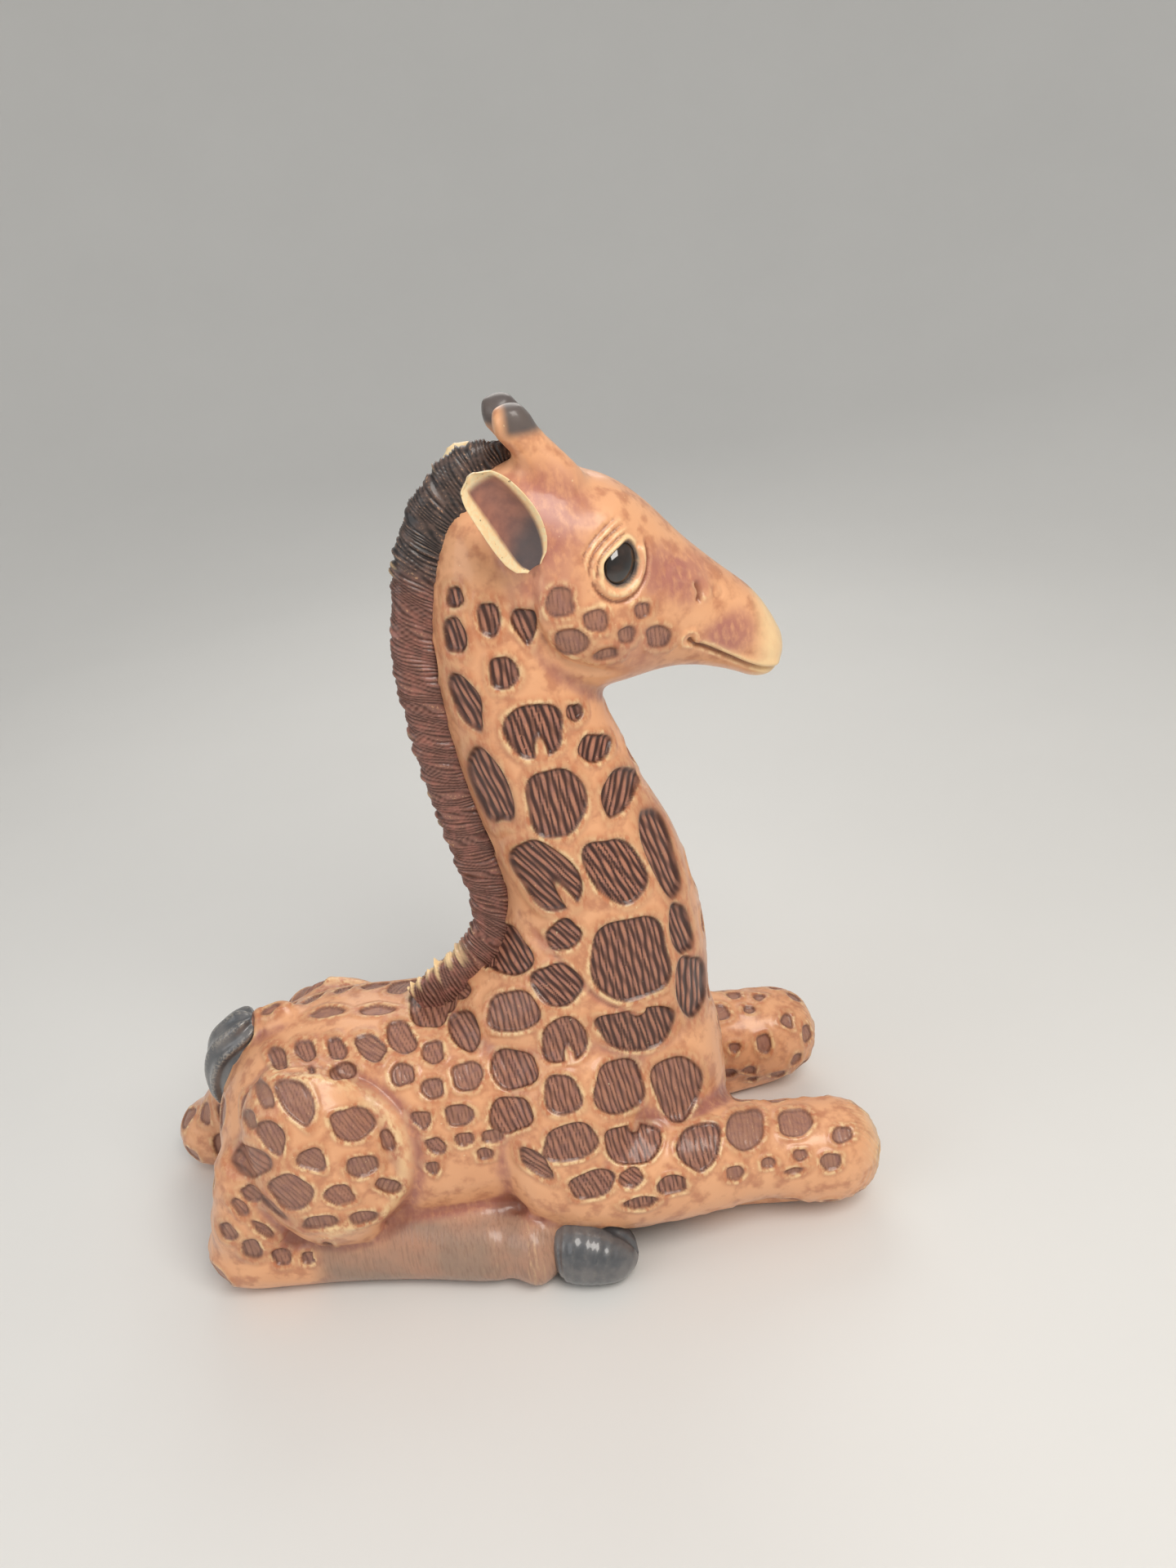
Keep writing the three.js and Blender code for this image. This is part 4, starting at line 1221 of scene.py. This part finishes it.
def even_noise(x, seed):
    """Smooth seeded noise of x, about -1 to 1, one blot to a unit."""
    steps = np.random.default_rng(seed).uniform(-1, 1, int(x.max()) + 3)
    low = np.floor(x).astype(int)
    return steps[low] + (steps[low + 1] - steps[low]) * step(0, 1, x - low)


mane_rings = side_rings(MANE)
mane_at, mane_faces = oval_skin(mane_rings, square=2.6, sides=MANE_SIDES, steps=MANE_STEPS)
mane_faces = outward(mane_at, mane_faces)
mane_count = (len(MANE) - 1) * MANE_STEPS + 1
mane_centre = between(mane_rings, MANE_STEPS)[:, :3]
run = np.concatenate([[0], np.cumsum(np.linalg.norm(np.diff(mane_centre, axis=0), axis=1))])
along, round_it = along_and_round(mane_count, MANE_SIDES)
length = np.append(np.repeat(run, MANE_SIDES), [0, run[-1]])
height = np.sin(round_it)
flank = step(0.05, 0.35, np.abs(np.cos(round_it)) + 0.3 * (height > 0))
droop = (1.5 + 0.9 * even_noise(length / 5 + 3, 5)) * height + 0.8 * height**2
phase = length / STRAND + droop + 0.9 * even_noise(length / 1.9 + 2, 6) + 0.25 * np.sin(5 * height + length)
strand = 0.5 + 0.5 * np.cos(2 * np.pi * phase)
lock = 0.5 + 0.5 * np.cos(2 * np.pi * (length / 3.3 + droop * 0.22 + 0.9 * even_noise(length / 4 + 1, 7)))
tuft = even_noise(np.maximum(length / STRAND + droop, 0) + 4, 8)
end_fade = step(0, 0.04, along) * step(1, 0.985, along)
mane_normals = skin_normals(mane_at, mane_faces)
combed = (0.3 * strand**0.7 + 0.22 * lock + 0.12 * tuft - 0.3) * flank * end_fade
combed += (0.45 * tuft - 0.25) * step(0.6, 0.95, height) * end_fade * (0.6 + 0.9 * step(0.84, 0.92, along))
mane_at = mane_at + mane_normals * combed[:, None]


def mane_finish():
    """Strands darker down between them as painted shade and lighter on top, near black where dark is 1,
    paler on the crests as dry-brush and painted highlight, with cream tips.
    """
    paint = Coating("painted_mane", **LACQUER)
    strand, dark, tip = (paint.mark(name) for name in ("strand", "dark", "tip"))
    brush, grain = paint.noise(0.5, 3.0), paint.noise(2.5, 3.0)
    hair = paint.mix(dark, colour(134, 92, 80), colour(74, 62, 58))
    root = paint.mix(dark, colour(86, 52, 42), colour(34, 28, 28))
    # Darker down between the strands: painted shade in the grooves.
    base = paint.mix(strand.clamped(0.1, 0.75), root, hair)
    base = paint.mix(brush.clamped(0.45, 0.7) * 0.45, base, paint.mix(dark, ROSE, colour(120, 96, 86)))
    # Paler on the strand crests: dry-brush and painted highlight.
    rubbed_and_highlit = strand.clamped(0.7, 1.0) * grain.clamped(0.48, 0.68)
    base = paint.mix(rubbed_and_highlit * 0.7, base, colour(206, 160, 122))
    base = paint.mix(tip, base, CREAM)
    return paint.finish(base, 0.34 + 0.2 * grain, grain, 0.3, 0.1)


withers_tips = step(0.55, 1.0, height + 0.35 * tuft) * step(0.84, 0.9, along)
other_tips = 0.5 * step(0.7, 1, height) * step(0.7, 0.9, tuft)
mane_extra = {
    "strand": strand,
    "dark": step(124, 142, mane_at[:, 2] + 3 * even_noise(length / 4 + 1, 9)),
    "tip": withers_tips + other_tips,
}
piece("mane_crest", "mane", mane_finish(), mane_at, mane_faces, extra=mane_extra)


# ---- Ears ----------------------------------------------------------------------------------------
# Each ear is a thin leaf pressed into a cup, with a rolled cream rim and a rose hollow that is
# shaded slate towards its root. It is glued to the side of the head, open to the front and the side.
EAR_ROOT, EAR_TIP = np.array([19.0, 13.9, 135.8]), np.array([11.0, 17.0, 152.6])
EAR_OPENS = np.array([-0.02, 1.0, 0.1])
EAR_STATIONS = [0, 0.07, 0.2, 0.4, 0.62, 0.82, 0.94, 1]
EAR_HALF_WIDTHS = [1.4, 2.9, 3.9, 4.4, 4.3, 3.8, 2.8, 0.8]
EAR_CUPS = [0.2, 0.8, 1.7, 2.5, 2.6, 1.9, 0.9, 0.1]
EAR_WALLS = [0.9, 1.1, 1.2, 1.2, 1.2, 1.15, 1.0, 0.5]
# How far each ear is shifted forwards and lifted.
LIE_EAR = {RIGHT: (0, 0), LEFT: (1.0, -2.2)}
EAR_SIDES, EAR_RINGS = 72, 90


def ear_surface(side):
    """Points along t from root to tip and round an angle v, and their marks. The leaf's middle sheet is
    across * w * a - opening * cup * (1 - a^2) with a = cos v, and sin v times the wall thickness goes to
    either side of it, thicker at the rim. Half way up it bows out and sways by a share of sin(pi t)."""
    shift, lift = LIE_EAR[side]
    stands = np.array([1, side, 1])
    root = EAR_ROOT * stands + [shift, 0, lift]
    tip = EAR_TIP * stands + [shift, 0, lift]
    length = np.linalg.norm(tip - root)
    axis = (tip - root) / length
    opens = EAR_OPENS * stands
    opens = opens - axis * (opens @ axis)
    opens /= np.linalg.norm(opens)
    wide = np.cross(axis, opens) * side
    t = (1 - np.cos(np.linspace(0, np.pi, EAR_RINGS))) / 2
    rows = between(np.array([EAR_HALF_WIDTHS, EAR_CUPS, EAR_WALLS]).T, 30)
    at = np.interp(t, EAR_STATIONS, np.arange(len(EAR_STATIONS))) / (len(EAR_STATIONS) - 1)
    stations = np.linspace(0, 1, len(rows))
    half_width, cup, wall = (np.interp(at, stations, column)[:, None] for column in rows.T)
    t = t[:, None]
    v = np.arange(EAR_SIDES)[None, :] / EAR_SIDES * 2 * np.pi
    a = np.cos(v)
    rim = np.abs(a) ** 3
    bow = np.sin(np.pi * t)
    deep = -cup * (1 - a * a) + wall * np.sin(v) * (0.5 + 0.55 * rim) + 0.4 * rim
    deep = deep - 1.3 * (1 - t) ** 2 + bow - 0.35
    sideways = half_width * a - 0.8 * bow
    leaf = root + axis * (t * length)[..., None] + wide * sideways[..., None] + opens * deep[..., None]
    out = np.abs(a + 0.1)
    areas = {
        "rim": np.maximum(step(0.62, 0.78, out), step(0.86, 0.95, t)),
        "inner": (np.sin(v) > 0) * step(0.8, 0.6, out) * np.ones_like(deep),
        "low": step(0.52, 0.18, t + 0.12 * a),
    }
    return leaf.reshape(-1, 3), {key: area.ravel() for key, area in areas.items()}


def ear_finish():
    """Honey on the back, a rose hollow that turns slate where low is 1, and a speckled cream rim."""
    paint = Coating("painted_ear", **LACQUER)
    rim, inner, low = (paint.mark(name) for name in ("rim", "inner", "low"))
    brush, grain = paint.noise(0.35, 3.0), paint.noise(1.6, 4.0)
    back = paint.mix(brush.clamped(0.35, 0.65), HONEY, AMBER)
    hollow = paint.mix(brush.clamped(0.3, 0.7), colour(168, 114, 96), colour(136, 92, 82))
    hollow = paint.mix(low * 0.85, hollow, colour(74, 74, 78))
    base = paint.mix(inner, back, hollow)
    base = paint.mix(rim * (0.7 + 0.5 * grain), base, paint.mix(grain.clamped(0.4, 0.6), IVORY, CREAM))
    base = paint.mix(paint.noise(0.9, 1.0).clamped(0.7, 0.74) * rim * 0.6, base, UMBER)
    return paint.finish(base, 0.34 + 0.16 * grain, brush + grain, 0.3, 0.14)


ear_paint = ear_finish()
for side, word in SIDE_WORD.items():
    ear_at, ear_marks = ear_surface(side)
    ends = [ear_at[:EAR_SIDES].mean(0), ear_at[-EAR_SIDES:].mean(0)]
    ear_at = turned(np.vstack([ear_at, ends]))
    ear_marks = {key: np.append(mark, [1, 1]) for key, mark in ear_marks.items()}
    ear_faces = outward(ear_at, ring_faces(EAR_RINGS, EAR_SIDES))
    piece(f"ear_leaf_{word}", f"ear_{word}", ear_paint, ear_at, ear_faces, extra=ear_marks)


# ---- Eyes ----------------------------------------------------------------------------------------
# Each eye is a glossy near-black bead, taken to be glass. It is set in its pan behind the lids, which
# cover its rim, and leans with the slope of the cheek.
EYE_DEEP, EYE_BULGE, EYE_OVERSIZE = 9.75, 3.25, 1.24
EYE_RINGS, EYE_SIDES = 26, 56
CHEEK_SLOPE = np.array([-0.35, 0, -0.18])


def eye_finish():
    """Near black with a faint brown cloud, under a clear gloss."""
    paint = Coating("gloss_eye", Coat_Weight=1.0, Coat_Roughness=0.03, Specular_IOR_Level=0.6)
    cloud = paint.noise(0.35, 2.0)
    base = paint.mix(cloud.clamped(0.4, 0.7), colour(16, 12, 12), colour(52, 36, 28))
    return paint.finish(base, cloud * 0.05 + 0.05, cloud, 0.05, 0.05)


eye_paint = eye_finish()
for side, word in SIDE_WORD.items():
    angle = np.linspace(0, np.pi, EYE_RINGS)[1:-1, None]
    middle = np.array([EYE_AT[0], side * EYE_DEEP, EYE_AT[1]])
    centre = middle + np.array([0, side, 0]) * EYE_BULGE * np.cos(angle)
    c, s = np.cos(EYE_TILT), np.sin(EYE_TILT)
    long_half, wide_half = (
        (way + [0, side * (way @ CHEEK_SLOPE), 0]) * half * EYE_OVERSIZE * np.sin(angle)
        for way, half in ((np.array([c, 0, s]), EYE_HALF[0]), (np.array([-s, 0, c]), EYE_HALF[1]))
    )
    eye_at, eye_faces = oval_skin(np.hstack([centre, long_half, wide_half]), 2, sides=EYE_SIDES, steps=1)
    eye_at = turned(eye_at)
    piece(f"eye_bead_{word}", f"eye_{word}", eye_paint, eye_at, outward(eye_at, eye_faces))


# ---- Hooves and tail tuft ------------------------------------------------------------------------
# The hooves are cloven and the tail ends in a tuft of twisted hair. All are slate grey under gloss,
# rubbed pale on their high places, which also paints highlights there.
FORE_HOOF = [
    (31.8, 13, 4.6, 3.6, 3.4),
    (29, 12.8, 4.6, 4.8, 4.4),
    (23, 12.4, 4, 5.2, 4),
    (19.6, 12.2, 3, 3.6, 2.6),
]
HIND_HOOF = [
    (6.0, 24.3, 6.2, 4.4, 4.6),
    (8.4, 24.8, 6.4, 6.2, 6.4),
    (12.6, 25.7, 5.8, 6.7, 6.2),
    (16.4, 26.5, 4.6, 6.1, 5.0),
    (19.0, 27.1, 3.4, 4.6, 3.6),
    (20.4, 27.4, 2.6, 2.0, 1.6),
]
TAIL_TUFT = [
    (-45.5, 5.2, 48.6, 1.4, 1.4),
    (-47.4, 5.6, 47.2, 4, 3.6),
    (-51.4, 6, 43.4, 5.2, 4.4),
    (-54.4, 6.4, 37.6, 4.8, 3.8),
    (-56.2, 6.6, 32, 2.8, 2.4),
    (-56.8, 6.8, 29, 0.8, 0.8),
]
SLATE_SIDES, SLATE_STEPS = 72, 22


def slate_finish():
    """Cloudy slate grey, paler where the rubbed mark is 1, as rubbed paint and painted highlight on the
    high places, under gloss.
    """
    paint = Coating("gloss_slate", Coat_Weight=0.8, Coat_Roughness=0.1, Specular_IOR_Level=0.5)
    rubbed_and_highlit = paint.mark("rubbed_and_highlit")
    cloud, grain = paint.noise(0.2, 3.0), paint.noise(1.8, 4.0)
    base = paint.mix(cloud.clamped(0.35, 0.65), colour(78, 80, 84), colour(108, 106, 106))
    base = paint.mix(rubbed_and_highlit * grain.clamped(0.42, 0.62) * 0.6, base, colour(168, 160, 148))
    return paint.finish(base, 0.3 + 0.2 * grain, grain, 0.3, 0.12)


slate_paint = slate_finish()
slate_parts = {"tail_tuft": (TAIL_TUFT, "tuft")}
for side, word in SIDE_WORD.items():
    slate_parts[f"fore_hoof_{word}"] = (on_side(FORE_HOOF, side, **LIE_FORE[side]), "hoof")
    slate_parts[f"hind_hoof_{word}"] = (on_side(HIND_HOOF, side, **LIE_HIND[side]), "hoof")
for node, (rows, slot) in slate_parts.items():
    at, faces = oval_skin(limb_rings(rows), square=2.3, sides=SLATE_SIDES, steps=SLATE_STEPS)
    along, round_it = along_and_round((len(rows) - 1) * SLATE_STEPS + 1, SLATE_SIDES)
    ends = step(0, 0.12, along) * step(1, 0.88, along)
    if slot == "tuft":
        twist = round_it * 8 + 5 * along + 1.2 * np.sin(9 * along + round_it)
        relief_here = 0.42 * np.cos(twist) * ends
    else:
        cleft = np.minimum(np.abs(round_it - np.pi / 2), np.abs(round_it - 1.5 * np.pi))
        rings_here = 0.06 * np.cos(70 * along) * step(0.7, 0.5, along)
        cut_here = ridge_at(cleft, 0.13, -0.9) * step(0.35, 0.6, along) * step(1.02, 0.9, along)
        relief_here = cut_here + rings_here * ends
    faces = outward(at, faces)
    at = at + skin_normals(at, faces) * relief_here[:, None]
    at[:, 2] = np.maximum(at[:, 2], 0)
    # Paler on the crests: rubbed paint and painted highlight.
    extra = {"rubbed_and_highlit": np.clip(relief_here * 3, 0, 1) * ends}
    piece(f"{node}_slate", node, slate_paint, at, faces, extra=extra)


# ---- Neck rod ------------------------------------------------------------------------------------
# A bent steel rod is taken to be pushed into the torso and cast into the neck, where no view reaches it.
# It keeps its shape from the frame and gets only its finish here.
def rod_finish():
    """Bright drawn steel with long fine scratches."""
    paint = Coating("drawn_steel", Metallic=1.0)
    scratch = paint.noise(0.6, 4.0, (1, 1, 0.06))
    base = paint.mix(scratch, colour(128, 128, 130), colour(168, 168, 170))
    return paint.finish(base, 0.32 + 0.2 * scratch, scratch, 0.15, 0.05)


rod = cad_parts["neck_rod"]
rod.data.materials.clear()
rod.data.materials.append(rod_finish())
